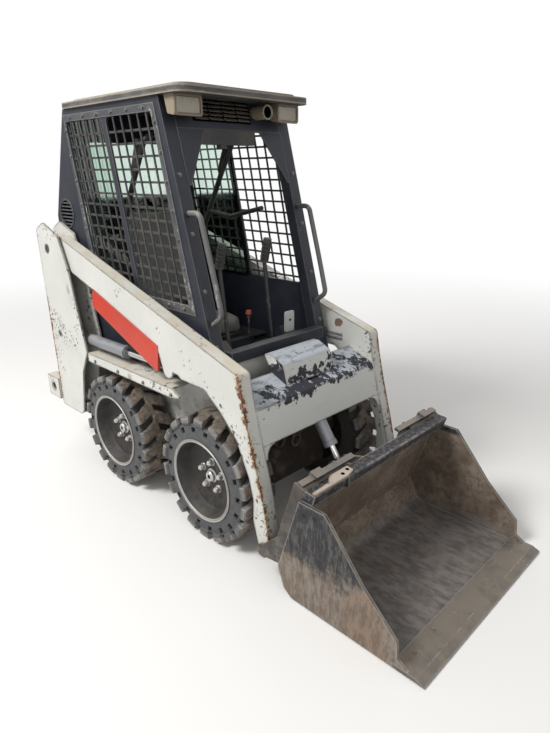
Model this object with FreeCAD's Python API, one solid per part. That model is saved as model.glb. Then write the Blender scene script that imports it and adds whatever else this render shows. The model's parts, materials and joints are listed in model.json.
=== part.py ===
"""Compact skid steer loader with its bucket on the ground.

Places along the machine are measured as E, back from the bucket's cutting edge, and as
Z, up from the ground. X runs to the machine's left. The finished part faces -Y, and its
origin is at the middle of its bounding box, on the ground.
"""
import FreeCAD, Part
import math
import os

Vector = FreeCAD.Vector

# Widths, from the cab outwards
CAB_HALF = 345.0
ARM_WIDTH = 60.0
ARM_INNER_X = CAB_HALF + 30.0
ARM_OUTER_X = ARM_INNER_X + ARM_WIDTH
ARM_MID_X = ARM_OUTER_X - ARM_WIDTH / 2
TOWER_INNER_X = ARM_INNER_X - 18.0
TOWER_OUTER_X = ARM_OUTER_X + 20.0
BUCKET_HALF = TOWER_OUTER_X + 2.0
TYRE_WIDTH = 170.0
TYRE_OUTER_X = ARM_OUTER_X + 14.0
TUB_HALF = TYRE_OUTER_X - TYRE_WIDTH - 24.0
FENDER_OUTER_X = TYRE_OUTER_X + 1.0
ROOF_HALF = CAB_HALF + 14.0
GATE_HALF = CAB_HALF - 5.0

# Wheels
TYRE_RADIUS = 280.0
RIM_RADIUS = 186.0
LUG_COUNT = 18
LUG_DEPTH = 27.0
LUG_SHARE = 0.56
LUG_SWEEP = 0.42
WHEELBASE = 692.0
FRONT_AXLE_E = 1082.0
REAR_AXLE_E = FRONT_AXLE_E + WHEELBASE
AXLE_Z = TYRE_RADIUS
HUB_RADIUS = 52.0
HUB_END_X = TYRE_OUTER_X - 77.0
HUB_FLANGE_RADIUS = 88.0

# Plates and pins
PLATE = 8.0
THIN_PLATE = 4.0
BAR = 12.0
PIN_RADIUS = 22.0
SMALL_PIN_RADIUS = 15.0
FIT = 0.5
SEAT_GAP = 0.3
SIDE_GAP = 5.0

# Joints
PIVOT_E = 2245.0
PIVOT_Z = 1138.0
TOOL_PIN_E = 716.0
TOOL_PIN_Z = 125.0
LIFT_BASE_E = 2225.0
LIFT_BASE_Z = 700.0
LIFT_EYE_E = 1285.0
LIFT_EYE_Z = 716.0
TILT_BASE_E = 985.0
TILT_BASE_Z = 735.0
TILT_EYE_E = 700.0
TILT_EYE_Z = 324.0

# Lift arms
ARM_TYRE_GAP = 27.0
ARM_HEEL_RADIUS = 72.0

# Towers
TOWER_TYRE_GAP = 10.0

# Tub and deck
TUB_FRONT_E = 1000.0
TUB_REAR_E = 2330.0
BELLY_Z = 140.0
DECK_Z = 650.0
FENDER_LIP = 44.0
FENDER_FRONT_E = 1182.0
FENDER_REAR_E = 1950.0

# Cab
STAY_HALF = 60.0
CAB_WALL = 10.0
PILLAR_WIDTH = 60.0
PILLAR_DEPTH = 54.0
CAB_FLOOR_Z = 520.0
SILL_FRONT_E = 1045.0
SILL_Z = 760.0
SILL_HEIGHT = 48.0
CAB_TOP_Z = 1776.0
HEADER_Z = CAB_TOP_Z - 114.0
SCREEN_BAR = 9.0
SCREEN_STEP_E = 62.0
SCREEN_STEP_Z = 50.0

# Roof
ROOF_FRONT_E = 1202.0
ROOF_REAR_E = 2140.0
ROOF_THICK = 34.0
ROOF_CORNER = 55.0

# Bucket
BUCKET_WALL = 8.0
BUCKET_SIDE = 12.0
EDGE_THICK = 16.0
EDGE_DEPTH = 120.0
FLOOR_GAP = 4.0

# Rear end
GATE_FRONT_E = 2356.0
GATE_LOW_Z = 430.0
GATE_TOP_Z = 1120.0
BUMPER_LOW_Z = 285.0
BUMPER_HEIGHT = 120.0
BUMPER_DEPTH = 130.0
REAR_END_E = GATE_FRONT_E + BUMPER_DEPTH
TIE_BORE = 50.0
OVERALL_LENGTH = REAR_END_E
ORIGIN_E = OVERALL_LENGTH / 2

SIDES = (("right", -1), ("left", 1))
FORWARD_TILT = math.atan2(261.0, 948.0)


def at(x, e, z):
    """A point in the part's frame."""
    return Vector(x, e - ORIGIN_E, z)


def box(x0, x1, e0, e1, z0, z1):
    """A plain box between two corners."""
    low_x, high_x = min(x0, x1), max(x0, x1)
    return Part.makeBox(high_x - low_x, e1 - e0, z1 - z0, at(low_x, e0, z0))


def corner(previous, point, following, radius):
    """The start, middle and end of the arc that rounds one corner."""
    back = (previous - point).normalize()
    ahead = (following - point).normalize()
    half = back.getAngle(ahead) / 2
    reach = radius / math.tan(half)
    centre = point + (back + ahead).normalize() * (radius / math.sin(half))
    middle = centre + (point - centre).normalize() * radius
    return point + back * reach, middle, point + ahead * reach


def wire(points, radii):
    """A closed outline of straight runs, its corners rounded where a radius is given."""
    edges = []
    places = []
    count = len(points)
    for number, point in enumerate(points):
        radius = radii[number]
        if radius > 0:
            places.append(corner(points[number - 1], point, points[(number + 1) % count], radius))
        else:
            places.append((point, None, point))
    for number, (start, middle, end) in enumerate(places):
        if middle is not None:
            edges.append(Part.Arc(start, middle, end).toShape())
        following = places[(number + 1) % count][0]
        if (following - end).Length > 1e-6:
            edges.append(Part.LineSegment(end, following).toShape())
    return Part.Wire(Part.__sortEdges__(edges))


def plate(outline, x0, x1):
    """A side plate: corners (E, Z) or (E, Z, radius), between two X places."""
    low_x, high_x = min(x0, x1), max(x0, x1)
    points = [at(low_x, place[0], place[1]) for place in outline]
    radii = [place[2] if len(place) > 2 else 0.0 for place in outline]
    return Part.Face(wire(points, radii)).extrude(Vector(high_x - low_x, 0, 0))


def slab(outline, z0, z1):
    """A level plate: corners (X, E) or (X, E, radius), between two heights."""
    points = [at(place[0], place[1], z0) for place in outline]
    radii = [place[2] if len(place) > 2 else 0.0 for place in outline]
    return Part.Face(wire(points, radii)).extrude(Vector(0, 0, z1 - z0))


def pin(radius, x0, x1, e, z):
    """A round bar across the machine."""
    low_x, high_x = min(x0, x1), max(x0, x1)
    return Part.makeCylinder(radius, high_x - low_x, at(low_x, e, z), Vector(1, 0, 0))


def rod(radius, start, end):
    """A round bar between two points (X, E, Z)."""
    low = at(*start)
    run = at(*end) - low
    return Part.makeCylinder(radius, run.Length, low, run)


def tube(radius, route, bend):
    """A round bar along points (X, E, Z), its corners bent to one radius."""
    points = [at(*place) for place in route]
    edges = []
    start = points[0]
    for number in range(1, len(points) - 1):
        first, middle, last = corner(points[number - 1], points[number], points[number + 1], bend)
        edges.append(Part.LineSegment(start, first).toShape())
        edges.append(Part.Arc(first, middle, last).toShape())
        start = last
    edges.append(Part.LineSegment(start, points[-1]).toShape())
    path = Part.Wire(edges)
    circle = Part.makeCircle(radius, points[0], points[1] - points[0])
    return path.makePipeShell([Part.Wire([circle])], True, False)


def ring(profile, x_sign, e, z):
    """A turned piece about a wheel's axis: corners (X outward, radius)."""
    points = [Vector(x_sign * x, 0, r) for x, r in profile]
    face = Part.Face(Part.makePolygon(points + points[:1]))
    turned = face.revolve(Vector(0, 0, 0), Vector(1, 0, 0), 360)
    turned.translate(at(0, e, z))
    return turned


def join(pieces):
    """One solid of pieces that touch or overlap."""
    whole = pieces[0].multiFuse(pieces[1:]) if len(pieces) > 1 else pieces[0]
    return whole.removeSplitter()


def less(body, tools):
    """A body with holes cut in it."""
    return body.cut(Part.makeCompound(tools))


def along(start, end, share):
    """A place between two (E, Z) places."""
    return tuple(a + (b - a) * share for a, b in zip(start, end))


def cab_front_e(z):
    """Where the front face of the cab's pillars stands at a height."""
    return SILL_FRONT_E + 38.0 + (z - SILL_Z - 22.0) * math.tan(FORWARD_TILT)


nodes = {}


# The tub: floor, side plates, front wall and the rear sill that the gate shuts against.
tub_inner = TUB_HALF - PLATE
tub_top_front = (cab_front_e(SILL_Z) - PLATE, SILL_Z)
front_slope = (tub_top_front[0] - TUB_FRONT_E) / (SILL_Z - BELLY_Z)
tub_side = [
    (TUB_FRONT_E, BELLY_Z, 16.0),
    (TUB_REAR_E, BELLY_Z),
    (TUB_REAR_E, DECK_Z),
    (TUB_FRONT_E + front_slope * (DECK_Z - BELLY_Z), DECK_Z),
]
front_foot_z = BELLY_Z + PLATE + SEAT_GAP
front_foot_e = TUB_FRONT_E + front_slope * (front_foot_z - BELLY_Z)
tub_front = [
    (front_foot_e, front_foot_z),
    (front_foot_e + BAR, front_foot_z),
    (tub_top_front[0] + BAR, SILL_Z),
    tub_top_front,
]
shelf_outer = TOWER_INNER_X
tub_seat = tub_inner - SEAT_GAP
belly = box(-tub_seat, tub_seat, TUB_FRONT_E + BAR, TUB_REAR_E - PLATE - SEAT_GAP, BELLY_Z, BELLY_Z + PLATE)
front_wall = plate(tub_front, -tub_seat, tub_seat)
rear_sill = box(-tub_seat, tub_seat, TUB_REAR_E - PLATE, TUB_REAR_E, BELLY_Z, GATE_LOW_Z - 20.0)
step_e = TUB_REAR_E - 640.0
engine_step = box(-tub_seat, tub_seat, step_e, step_e + PLATE, BELLY_Z + PLATE + SEAT_GAP, CAB_FLOOR_Z)
frame_plates = [belly, front_wall, rear_sill, engine_step]
for name, side in SIDES:
    shelf_x = side * (TUB_HALF + SEAT_GAP)
    frame_plates.append(plate(tub_side, side * tub_inner, side * TUB_HALF))
    shelf = [box(shelf_x, side * shelf_outer, FENDER_FRONT_E, TUB_REAR_E, DECK_Z - PLATE, DECK_Z),
             box(shelf_x, side * CAB_HALF, cab_front_e(DECK_Z), FENDER_FRONT_E, DECK_Z - PLATE, DECK_Z)]
    frame_plates.append(join(shelf))
    for e in (REAR_AXLE_E + TYRE_RADIUS + 30.0, TUB_REAR_E - 40.0):
        frame_plates.append(box(shelf_x, side * TOWER_INNER_X, e, e + PLATE, AXLE_Z,
                                DECK_Z - PLATE - SEAT_GAP))
nodes["chassis_frame"] = Part.makeCompound(frame_plates)

# Fenders: a flat top between the deck and a tapered outer rail over both wheels.
fender_rail = [
    (FENDER_FRONT_E, DECK_Z - 30.0, 6.0),
    (FENDER_FRONT_E + 75.0, DECK_Z - FENDER_LIP),
    (FENDER_REAR_E, DECK_Z - FENDER_LIP),
    (FENDER_REAR_E, DECK_Z),
    (FENDER_FRONT_E + 60.0, DECK_Z, 30.0),
]
rail_inner = FENDER_OUTER_X - PLATE
fenders = []
for name, side in SIDES:
    top = box(side * shelf_outer, side * rail_inner, FENDER_FRONT_E + 70.0, FENDER_REAR_E, DECK_Z - PLATE,
              DECK_Z)
    fenders.append(join([top, plate(fender_rail, side * rail_inner, side * FENDER_OUTER_X)]))
nodes["fenders"] = Part.makeCompound(fenders)

# Towers: an outer and an inner plate, closed behind, that hold the arm's pivot between them.
tower_foot_e = REAR_AXLE_E + TYRE_RADIUS + TOWER_TYRE_GAP - 1.0
tower_rear_low = (2300.0, 277.0)
tower_rear_high = (2344.0, 1228.0)
tower_outline = [
    (tower_foot_e, 300.0, 14.0),
    (tower_foot_e + 30.0, tower_rear_low[1], 10.0),
    (tower_rear_low[0], tower_rear_low[1], 20.0),
    (tower_rear_high[0], tower_rear_high[1], 24.0),
    (2262.0, 1266.0, 30.0),
    (2121.0, 1213.0, 26.0),
    (2045.0, 1043.0, 60.0),
    (1949.0, DECK_Z + 2.0, 10.0),
    (REAR_AXLE_E + 245.0, AXLE_Z + 252.0, 60.0),
]
tower_back = [
    (tower_rear_low[0] - PLATE, tower_rear_low[1] + 20.0),
    (tower_rear_low[0], tower_rear_low[1] + 20.0),
    (tower_rear_high[0] - 1.0, tower_rear_high[1] - 24.0),
    (tower_rear_high[0] - 1.0 - PLATE, tower_rear_high[1] - 24.0),
]
for name, side in SIDES:
    outer = plate(tower_outline, side * (TOWER_OUTER_X - PLATE), side * TOWER_OUTER_X)
    inner = plate(tower_outline, side * TOWER_INNER_X, side * (TOWER_INNER_X + PLATE))
    back = plate(tower_back, side * TOWER_INNER_X, side * TOWER_OUTER_X)
    floor_low = tower_rear_low[1]
    bottom = box(side * TOWER_INNER_X, side * TOWER_OUTER_X, tower_foot_e + 34.0, tower_rear_low[0] - 20.0,
                 floor_low, floor_low + PLATE)
    bores = [pin(PIN_RADIUS, side * (TOWER_INNER_X - 1), side * (TOWER_OUTER_X + 1), PIVOT_E, PIVOT_Z),
             pin(SMALL_PIN_RADIUS, side * (TOWER_INNER_X - 1), side * (TOWER_OUTER_X + 1),
                 LIFT_BASE_E, LIFT_BASE_Z)]
    nodes["tower_" + name] = less(join([outer, inner, back, bottom]), bores)

# Pins that stand still: two arm pivots and two lift cylinder bases, in the towers' bores.
pins = []
for name, side in SIDES:
    inside, outside = side * TOWER_INNER_X, side * TOWER_OUTER_X
    pins.append(pin(PIN_RADIUS, inside, outside, PIVOT_E, PIVOT_Z))
    pins.append(pin(SMALL_PIN_RADIUS, inside, outside, LIFT_BASE_E, LIFT_BASE_Z))
nodes["pivot_pins"] = Part.makeCompound(pins)

# Axle housings: a flange on the tub's side, a tapered case and the hub that carries the rim.
housings = []
case = [(TUB_HALF, 0.0), (TUB_HALF, HUB_FLANGE_RADIUS), (TUB_HALF + 14.0, HUB_FLANGE_RADIUS),
        (TUB_HALF + 18.0, 70.0), (TUB_HALF + 70.0, HUB_RADIUS), (HUB_END_X, HUB_RADIUS), (HUB_END_X, 0.0)]
for name, side in SIDES:
    for axle_e in (FRONT_AXLE_E, REAR_AXLE_E):
        housings.append(ring(case, side, axle_e, AXLE_Z))
nodes["axle_housings"] = Part.makeCompound(housings)

# The engine stands behind the seat as one plain block, on two rails across the tub's floor.
engine_half = TUB_HALF - 65.0
engine_front_e, engine_rear_e = TUB_REAR_E - 590.0, TUB_REAR_E - 40.0
engine_low_z, engine_top_z = BELLY_Z + 60.0, DECK_Z + 10.0
rail_half, rail_width = engine_half - 40.0, 60.0
engine_rails = [box(-rail_half, rail_half, e, e + rail_width, BELLY_Z + PLATE, engine_low_z)
                for e in (engine_front_e + 30.0, engine_rear_e - 100.0)]
engine = box(-engine_half, engine_half, engine_front_e, engine_rear_e, engine_low_z, engine_top_z)
nodes["engine_block"] = join([engine] + engine_rails)

# Rear bumper: a box across the tail with a tie-down lug at each end.
bumper_top = BUMPER_LOW_Z + BUMPER_HEIGHT
bumper_half = TOWER_OUTER_X - 10.0
bumper = box(-bumper_half, bumper_half, GATE_FRONT_E, REAR_END_E, BUMPER_LOW_Z, bumper_top)
bumper_hollow = box(-bumper_half - 1, bumper_half + 1, GATE_FRONT_E + PLATE, REAR_END_E - PLATE,
                    BUMPER_LOW_Z + PLATE, bumper_top - PLATE)
bumper_ribs = [box(s * x, s * (x + BAR), GATE_FRONT_E, REAR_END_E, BUMPER_LOW_Z, bumper_top)
               for name, s in SIDES for x in (150.0, bumper_half - BAR)]
bumper_stays = [box(s * 180.0, s * 240.0, TUB_REAR_E, GATE_FRONT_E, BUMPER_LOW_Z, bumper_top)
                for name, s in SIDES]
tower_stays = [box(s * 390.0, s * 430.0, tower_rear_low[0] + 2.0, GATE_FRONT_E, BUMPER_LOW_Z + 20, bumper_top)
               for name, s in SIDES]
tie_e = (GATE_FRONT_E + REAR_END_E) / 2
tie_z = (BUMPER_LOW_Z + bumper_top) / 2
tie_bores = [pin(TIE_BORE / 2, s * 400.0, s * 470.0, tie_e, tie_z) for name, s in SIDES]
towers_whole = [nodes["tower_right"], nodes["tower_left"]]
bumper_whole = join([bumper.cut(bumper_hollow)] + bumper_ribs + bumper_stays + tower_stays)
nodes["rear_bumper"] = less(bumper_whole, tie_bores + towers_whole)

# Engine cover: a top panel behind the cab with slots for the cooler, and a lip over the gate.
cover_front_e = 2020.0
cover_rear_e = GATE_FRONT_E - SIDE_GAP
cover_half = CAB_HALF - CAB_WALL
cover_top = GATE_TOP_Z + 42.0
cover = box(-cover_half, cover_half, cover_front_e, cover_rear_e, cover_top - PLATE, cover_top)
cover_lip = box(-cover_half, cover_half, cover_rear_e - PLATE, cover_rear_e, cover_top - 60.0, cover_top)
slot_pitch = 32.0
cover_slots = [box(s * 30.0, s * 290.0, cover_front_e + 40.0 + slot_pitch * n,
                   cover_front_e + 54.0 + slot_pitch * n, cover_top - PLATE - 1, cover_top + 1)
               for name, s in SIDES for n in range(8)]
nodes["engine_cover"] = less(join([cover, cover_lip]), cover_slots)

# Cab: two side walls with their openings, front pillars, sill, header, floor and rear wall.
cab_inner = CAB_HALF - CAB_WALL
pillar_inner = CAB_HALF - PILLAR_WIDTH
cab_rear_high = (2129.0, CAB_TOP_Z)
cab_rear_low = (2310.0, 1292.0)
screen_low_z = 986.0
screen_top_z = CAB_TOP_Z - 54.0
screen_front_e = cab_front_e(screen_low_z) + PILLAR_DEPTH + 35.0
screen_front_top_e = cab_front_e(screen_top_z) + PILLAR_DEPTH + 10.0
screen_rear_e = 1947.0
screen_rear_top_e = 2108.0
rear_slope = (screen_rear_top_e - screen_rear_e) / (screen_top_z - screen_low_z)
divider_share = 0.52
divider_half = 17.0


def rear_wall_e(z):
    """The front face of the cab's rear wall at a height."""
    return screen_rear_e + 8.0 + rear_slope * (z - screen_low_z)


def opening(low_front, low_rear, top_front, top_rear):
    """One of the side wall's two openings."""
    return [(low_front, screen_low_z, 22.0), (low_rear, screen_low_z, 22.0),
            (top_rear, screen_top_z, 22.0), (top_front, screen_top_z, 22.0)]


divider_low_e = screen_front_e + divider_share * (screen_rear_e - screen_front_e)
divider_top_e = screen_front_top_e + divider_share * (screen_rear_top_e - screen_front_top_e)
front_opening = opening(screen_front_e, divider_low_e - divider_half, screen_front_top_e,
                        divider_top_e - divider_half)
rear_opening = opening(divider_low_e + divider_half, screen_rear_e, divider_top_e + divider_half,
                       screen_rear_top_e)
wall_outline = [
    (cab_front_e(DECK_Z), DECK_Z),
    (cab_rear_low[0], DECK_Z),
    (cab_rear_low[0], cab_rear_low[1], 30.0),
    cab_rear_high,
    (cab_front_e(CAB_TOP_Z), CAB_TOP_Z),
]
pillar_outline = [
    (cab_front_e(DECK_Z), DECK_Z),
    (cab_front_e(DECK_Z) + PILLAR_DEPTH, DECK_Z),
    (cab_front_e(CAB_TOP_Z) + PILLAR_DEPTH, CAB_TOP_Z),
    (cab_front_e(CAB_TOP_Z), CAB_TOP_Z),
]
header_outline = [
    (cab_front_e(HEADER_Z), HEADER_Z),
    (cab_front_e(HEADER_Z) + PILLAR_DEPTH, HEADER_Z),
    (cab_front_e(CAB_TOP_Z) + PILLAR_DEPTH, CAB_TOP_Z),
    (cab_front_e(CAB_TOP_Z), CAB_TOP_Z),
]
seat_pan_z = 690.0
seat_front_e = 1500.0
rear_wall_foot_z = seat_pan_z + SEAT_GAP
rear_wall_outline = [
    (rear_wall_e(rear_wall_foot_z), rear_wall_foot_z),
    (rear_wall_e(rear_wall_foot_z) + PLATE, rear_wall_foot_z),
    (rear_wall_e(CAB_TOP_Z) + PLATE, CAB_TOP_Z),
    (rear_wall_e(CAB_TOP_Z), CAB_TOP_Z),
]
port_e, port_z, port_radius = 2205.0, 1304.0, 65.0
cab_seat = cab_inner - SEAT_GAP
pillar_seat = pillar_inner - SEAT_GAP
cab_sides = []
cab_pieces = []
for name, side in SIDES:
    wall = plate(wall_outline, side * cab_inner, side * CAB_HALF)
    holes = [plate(front_opening, side * (cab_inner - 1), side * (CAB_HALF + 1)),
             plate(rear_opening, side * (cab_inner - 1), side * (CAB_HALF + 1)),
             pin(port_radius, side * (cab_inner - 1), side * (CAB_HALF + 1), port_e, port_z)]
    cab_sides.append(less(wall, holes))
    cab_sides.append(plate(pillar_outline, side * pillar_inner, side * cab_seat))
    cab_pieces.append(box(side * tub_inner, side * cab_seat,
                          cab_front_e(DECK_Z + PLATE) + PILLAR_DEPTH + SEAT_GAP,
                          rear_wall_e(seat_pan_z), DECK_Z, DECK_Z + PLATE))
bar_pivot_e, bar_pivot_z, bar_x = 1880.0, 1180.0, 250.0
bar_radius = 14.0
for name, side in SIDES:
    bracket_x = side * (bar_x + bar_radius + FIT)
    stay_low_z, stay_high_z = bar_pivot_z - STAY_HALF, bar_pivot_z + STAY_HALF
    stay_outline = [(bar_pivot_e, bar_pivot_z - bar_radius), (rear_wall_e(stay_low_z) - SEAT_GAP, stay_low_z),
                    (rear_wall_e(stay_high_z) - SEAT_GAP, stay_high_z),
                    (bar_pivot_e, bar_pivot_z + bar_radius)]
    cab_pieces.append(join([plate(stay_outline, bracket_x, bracket_x + side * PLATE),
                            pin(bar_radius, bracket_x, bracket_x + side * PLATE, bar_pivot_e, bar_pivot_z)]))
front_wall_inside = tub_top_front[0] + BAR
cab_pieces.append(box(-pillar_seat, pillar_seat, SILL_FRONT_E, SILL_FRONT_E + 44.0, SILL_Z,
                      SILL_Z + SILL_HEIGHT))
header = plate(header_outline, -pillar_seat, pillar_seat)
slot_pitch, slot_width, slot_count = 28.0, 14.0, 8
slot_low_z, slot_top_z = HEADER_Z + 34.0, CAB_TOP_Z - 26.0
header_slots = []
for number in range(slot_count):
    x = slot_pitch * (number - slot_count / 2)
    header_slots.append(box(x, x + slot_width, cab_front_e(HEADER_Z) - 1, cab_front_e(CAB_TOP_Z) + 10.0,
                            slot_low_z, slot_top_z))
cab_pieces.append(less(header, header_slots))
footwell_rear_e = TUB_REAR_E - 640.0
cab_pieces.append(box(-tub_inner, tub_inner, front_wall_inside - 25.0, footwell_rear_e,
                      CAB_FLOOR_Z, CAB_FLOOR_Z + PLATE))
cab_pieces.append(box(-tub_inner, tub_inner, seat_front_e - 20.0, seat_front_e - 12.0,
                      CAB_FLOOR_Z + PLATE + SEAT_GAP, seat_pan_z - PLATE - SEAT_GAP))
cab_pieces.append(box(-cab_seat, cab_seat, seat_front_e - 20.0, rear_wall_e(seat_pan_z) + PLATE,
                      seat_pan_z - PLATE, seat_pan_z))
rear_wall = plate(rear_wall_outline, -cab_seat, cab_seat)
window_low_z, window_top_z, window_half = 1180.0, CAB_TOP_Z - 136.0, cab_inner - 85.0
window_cut = box(-window_half, window_half, cover_front_e - 120.0, cover_front_e + 200.0, window_low_z,
                 window_top_z)
cab_pieces.append(rear_wall.cut(window_cut))
nodes["cab_frame"] = Part.makeCompound(cab_pieces).cut(nodes["chassis_frame"])
cab_side_plates = Part.makeCompound(cab_sides).cut(nodes["chassis_frame"])
nodes["engine_cover"] = nodes["engine_cover"].cut(nodes["cab_frame"]).cut(cab_side_plates)

# Roof: a level slab with a raised middle and a drip lip all round.
roof_outline = [(-ROOF_HALF, ROOF_FRONT_E, ROOF_CORNER), (ROOF_HALF, ROOF_FRONT_E, ROOF_CORNER),
                (ROOF_HALF, ROOF_REAR_E, ROOF_CORNER), (-ROOF_HALF, ROOF_REAR_E, ROOF_CORNER)]
roof_step = 26.0
roof_inset = 40.0
roof_top_outline = [(x - math.copysign(roof_inset, x),
                     e + (roof_inset if e == ROOF_FRONT_E else -roof_inset), r)
                    for x, e, r in roof_outline]
roof_top_z = CAB_TOP_Z + ROOF_THICK + 4.0
roof_base = slab(roof_outline, CAB_TOP_Z, CAB_TOP_Z + roof_step)
roof_crown = slab(roof_top_outline, CAB_TOP_Z + roof_step - 1, roof_top_z)
roof_skin = 5.0
void_inset = 14.0
void_outline = [(x - math.copysign(void_inset, x), e + (void_inset if in_front else -void_inset))
                for (x, e, r), in_front in zip(roof_top_outline, (True, True, False, False))]
roof_void = slab(void_outline, CAB_TOP_Z + roof_skin, roof_top_z - roof_skin)
nodes["cab_roof"] = join([roof_base, roof_crown]).cut(roof_void)

# Side screens: level bars behind leaning bars, welded where they cross.
screen_deep = 5.0
screens = []
for name, side in SIDES:
    bars = []
    levels = int((screen_top_z - screen_low_z) / SCREEN_STEP_Z)
    for number in range(1, levels + 1):
        z = screen_low_z + SCREEN_STEP_Z * number - SCREEN_STEP_Z / 2
        bars.append(box(side * (CAB_HALF - screen_deep), side * (CAB_HALF - 2 * screen_deep + 1.0),
                        screen_front_e - 10, screen_rear_top_e + 10, z - SCREEN_BAR / 2, z + SCREEN_BAR / 2))
    lean = screen_rear_top_e - screen_rear_e
    uprights = int((screen_rear_top_e - screen_front_e + lean) / SCREEN_STEP_E)
    for number in range(uprights):
        low_e = screen_front_e - lean + SCREEN_STEP_E * (number + 0.5)
        bars.append(plate([(low_e - SCREEN_BAR / 2, screen_low_z - 5),
                           (low_e + SCREEN_BAR / 2, screen_low_z - 5),
                           (low_e + lean + SCREEN_BAR / 2, screen_top_z + 5),
                           (low_e + lean - SCREEN_BAR / 2, screen_top_z + 5)],
                          side * (CAB_HALF - screen_deep), side * CAB_HALF))
    grid = join(bars)
    frames = [plate(shape, side * cab_inner, side * CAB_HALF) for shape in (front_opening, rear_opening)]
    screens.append(grid.common(Part.makeCompound(frames)))
nodes["side_screens"] = Part.makeCompound(screens)

# Window panes: one in the rear wall and one behind the rear part of each screen.
pane_lap = 12.0
pane_outline = [(divider_low_e - 5.0, screen_low_z - pane_lap), (screen_rear_e, screen_low_z - pane_lap),
                (screen_rear_top_e, screen_top_z + pane_lap), (divider_top_e - 5.0, screen_top_z + pane_lap)]
panes = [plate(pane_outline, side * (cab_inner - THIN_PLATE), side * cab_inner) for name, side in SIDES]
rear_pane = plate([(rear_wall_e(window_low_z - pane_lap) - THIN_PLATE, window_low_z - pane_lap),
                   (rear_wall_e(window_low_z - pane_lap), window_low_z - pane_lap),
                   (rear_wall_e(window_top_z + pane_lap), window_top_z + pane_lap),
                   (rear_wall_e(window_top_z + pane_lap) - THIN_PLATE, window_top_z + pane_lap)],
                  -window_half - pane_lap, window_half + pane_lap)
nodes["window_glass"] = Part.makeCompound(panes + [rear_pane])

# Seat: a steel pan with a leaning back plate, and the two cushions it carries.
cushion_half = 200.0
cushion_low = seat_pan_z + 24.0
cushion_top = 815.0
back_lean = 84.0
back_thick = 86.0
back_front_e = rear_wall_e(seat_pan_z) - PLATE - back_thick - 6.0
back_top = 1330.0
seat_pan = box(-cushion_half + 12, cushion_half - 12, seat_front_e + 12, back_front_e + back_thick,
               seat_pan_z, cushion_low - SEAT_GAP)
back_rear_e = back_front_e + back_thick + SEAT_GAP
back_slope = back_lean / (back_top - cushion_top)
back_plate_top = back_top - 60.0
back_plate = [(back_rear_e - 1, seat_pan_z), (back_rear_e + PLATE, seat_pan_z),
              (back_rear_e + PLATE, cushion_top),
              (back_rear_e + PLATE + back_slope * (back_plate_top - cushion_top), back_plate_top),
              (back_rear_e + back_slope * (back_plate_top - cushion_top), back_plate_top),
              (back_rear_e, cushion_top),
              (back_rear_e - 1, cushion_top - 1)]
nodes["seat_base"] = join([seat_pan, plate(back_plate, -cushion_half + 20, cushion_half - 20)])
seat_cushion = [(seat_front_e, cushion_low, 20.0), (back_front_e + back_thick - 2, cushion_low, 10.0),
                (back_front_e + back_thick - 2, cushion_top - 24, 10.0), (seat_front_e, cushion_top, 40.0)]
back_cushion = [(back_front_e, cushion_top, 20.0), (back_front_e + back_thick, cushion_top),
                (back_front_e + back_thick + back_lean, back_top, 34.0),
                (back_front_e + back_lean, back_top, 34.0)]
nodes["seat_cushions"] = Part.makeCompound([
    plate(seat_cushion, -cushion_half, cushion_half),
    plate(back_cushion, -cushion_half, cushion_half),
])

# Hand levers, foot pedals and the red knob lever, standing on the cab's floor and seat pan.
lever_x = 135.0
floor_top = CAB_FLOOR_Z + PLATE
controls = []
for name, side in SIDES:
    stem = tube(9.0, [(side * lever_x, 1190.0, floor_top), (side * lever_x, 1247.0, 836.0),
                      (side * lever_x, 1283.0, 1105.0), (side * lever_x, 1258.0, 1215.0)], 40.0)
    grip = rod(19.0, (side * lever_x, 1281.0, 1112.0), (side * lever_x, 1260.0, 1206.0))
    foot = box(side * lever_x - 30, side * lever_x + 30, 1160.0, 1220.0, floor_top, floor_top + PLATE)
    controls.append(join([stem, grip, foot]))
    pedal_x = side * 205.0
    pedal = plate([(1130.0, 735.0), (1138.0, 728.0), (1222.0, 796.0), (1214.0, 804.0)], pedal_x - 34,
                  pedal_x + 34)
    stand = plate([(1150.0, floor_top), (1200.0, floor_top), (1184.0, 768.0), (1172.0, 758.0)],
                  pedal_x - 5, pedal_x + 5)
    controls.append(join([pedal, stand]))
knob_x, knob_e = 222.0, seat_front_e - 10.0
controls.append(join([rod(5.0, (knob_x, knob_e, seat_pan_z), (knob_x, knob_e, 800.0)),
                      Part.makeSphere(14.0, at(knob_x, knob_e, 806.0))]))
nodes["control_levers"] = Part.makeCompound(controls).cut(nodes["cab_frame"])

# Overhead panel under the header, with a small lamp.
panel_e = cab_front_e(HEADER_Z) + 4.0
panel = box(-200.0, 130.0, panel_e, panel_e + 46.0, HEADER_Z - 56.0, HEADER_Z)
dome = rod(22.0, (-40.0, panel_e + 23.0, HEADER_Z - 70.0), (-40.0, panel_e + 23.0, HEADER_Z - 50.0))
nodes["overhead_panel"] = join([panel, dome])

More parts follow.
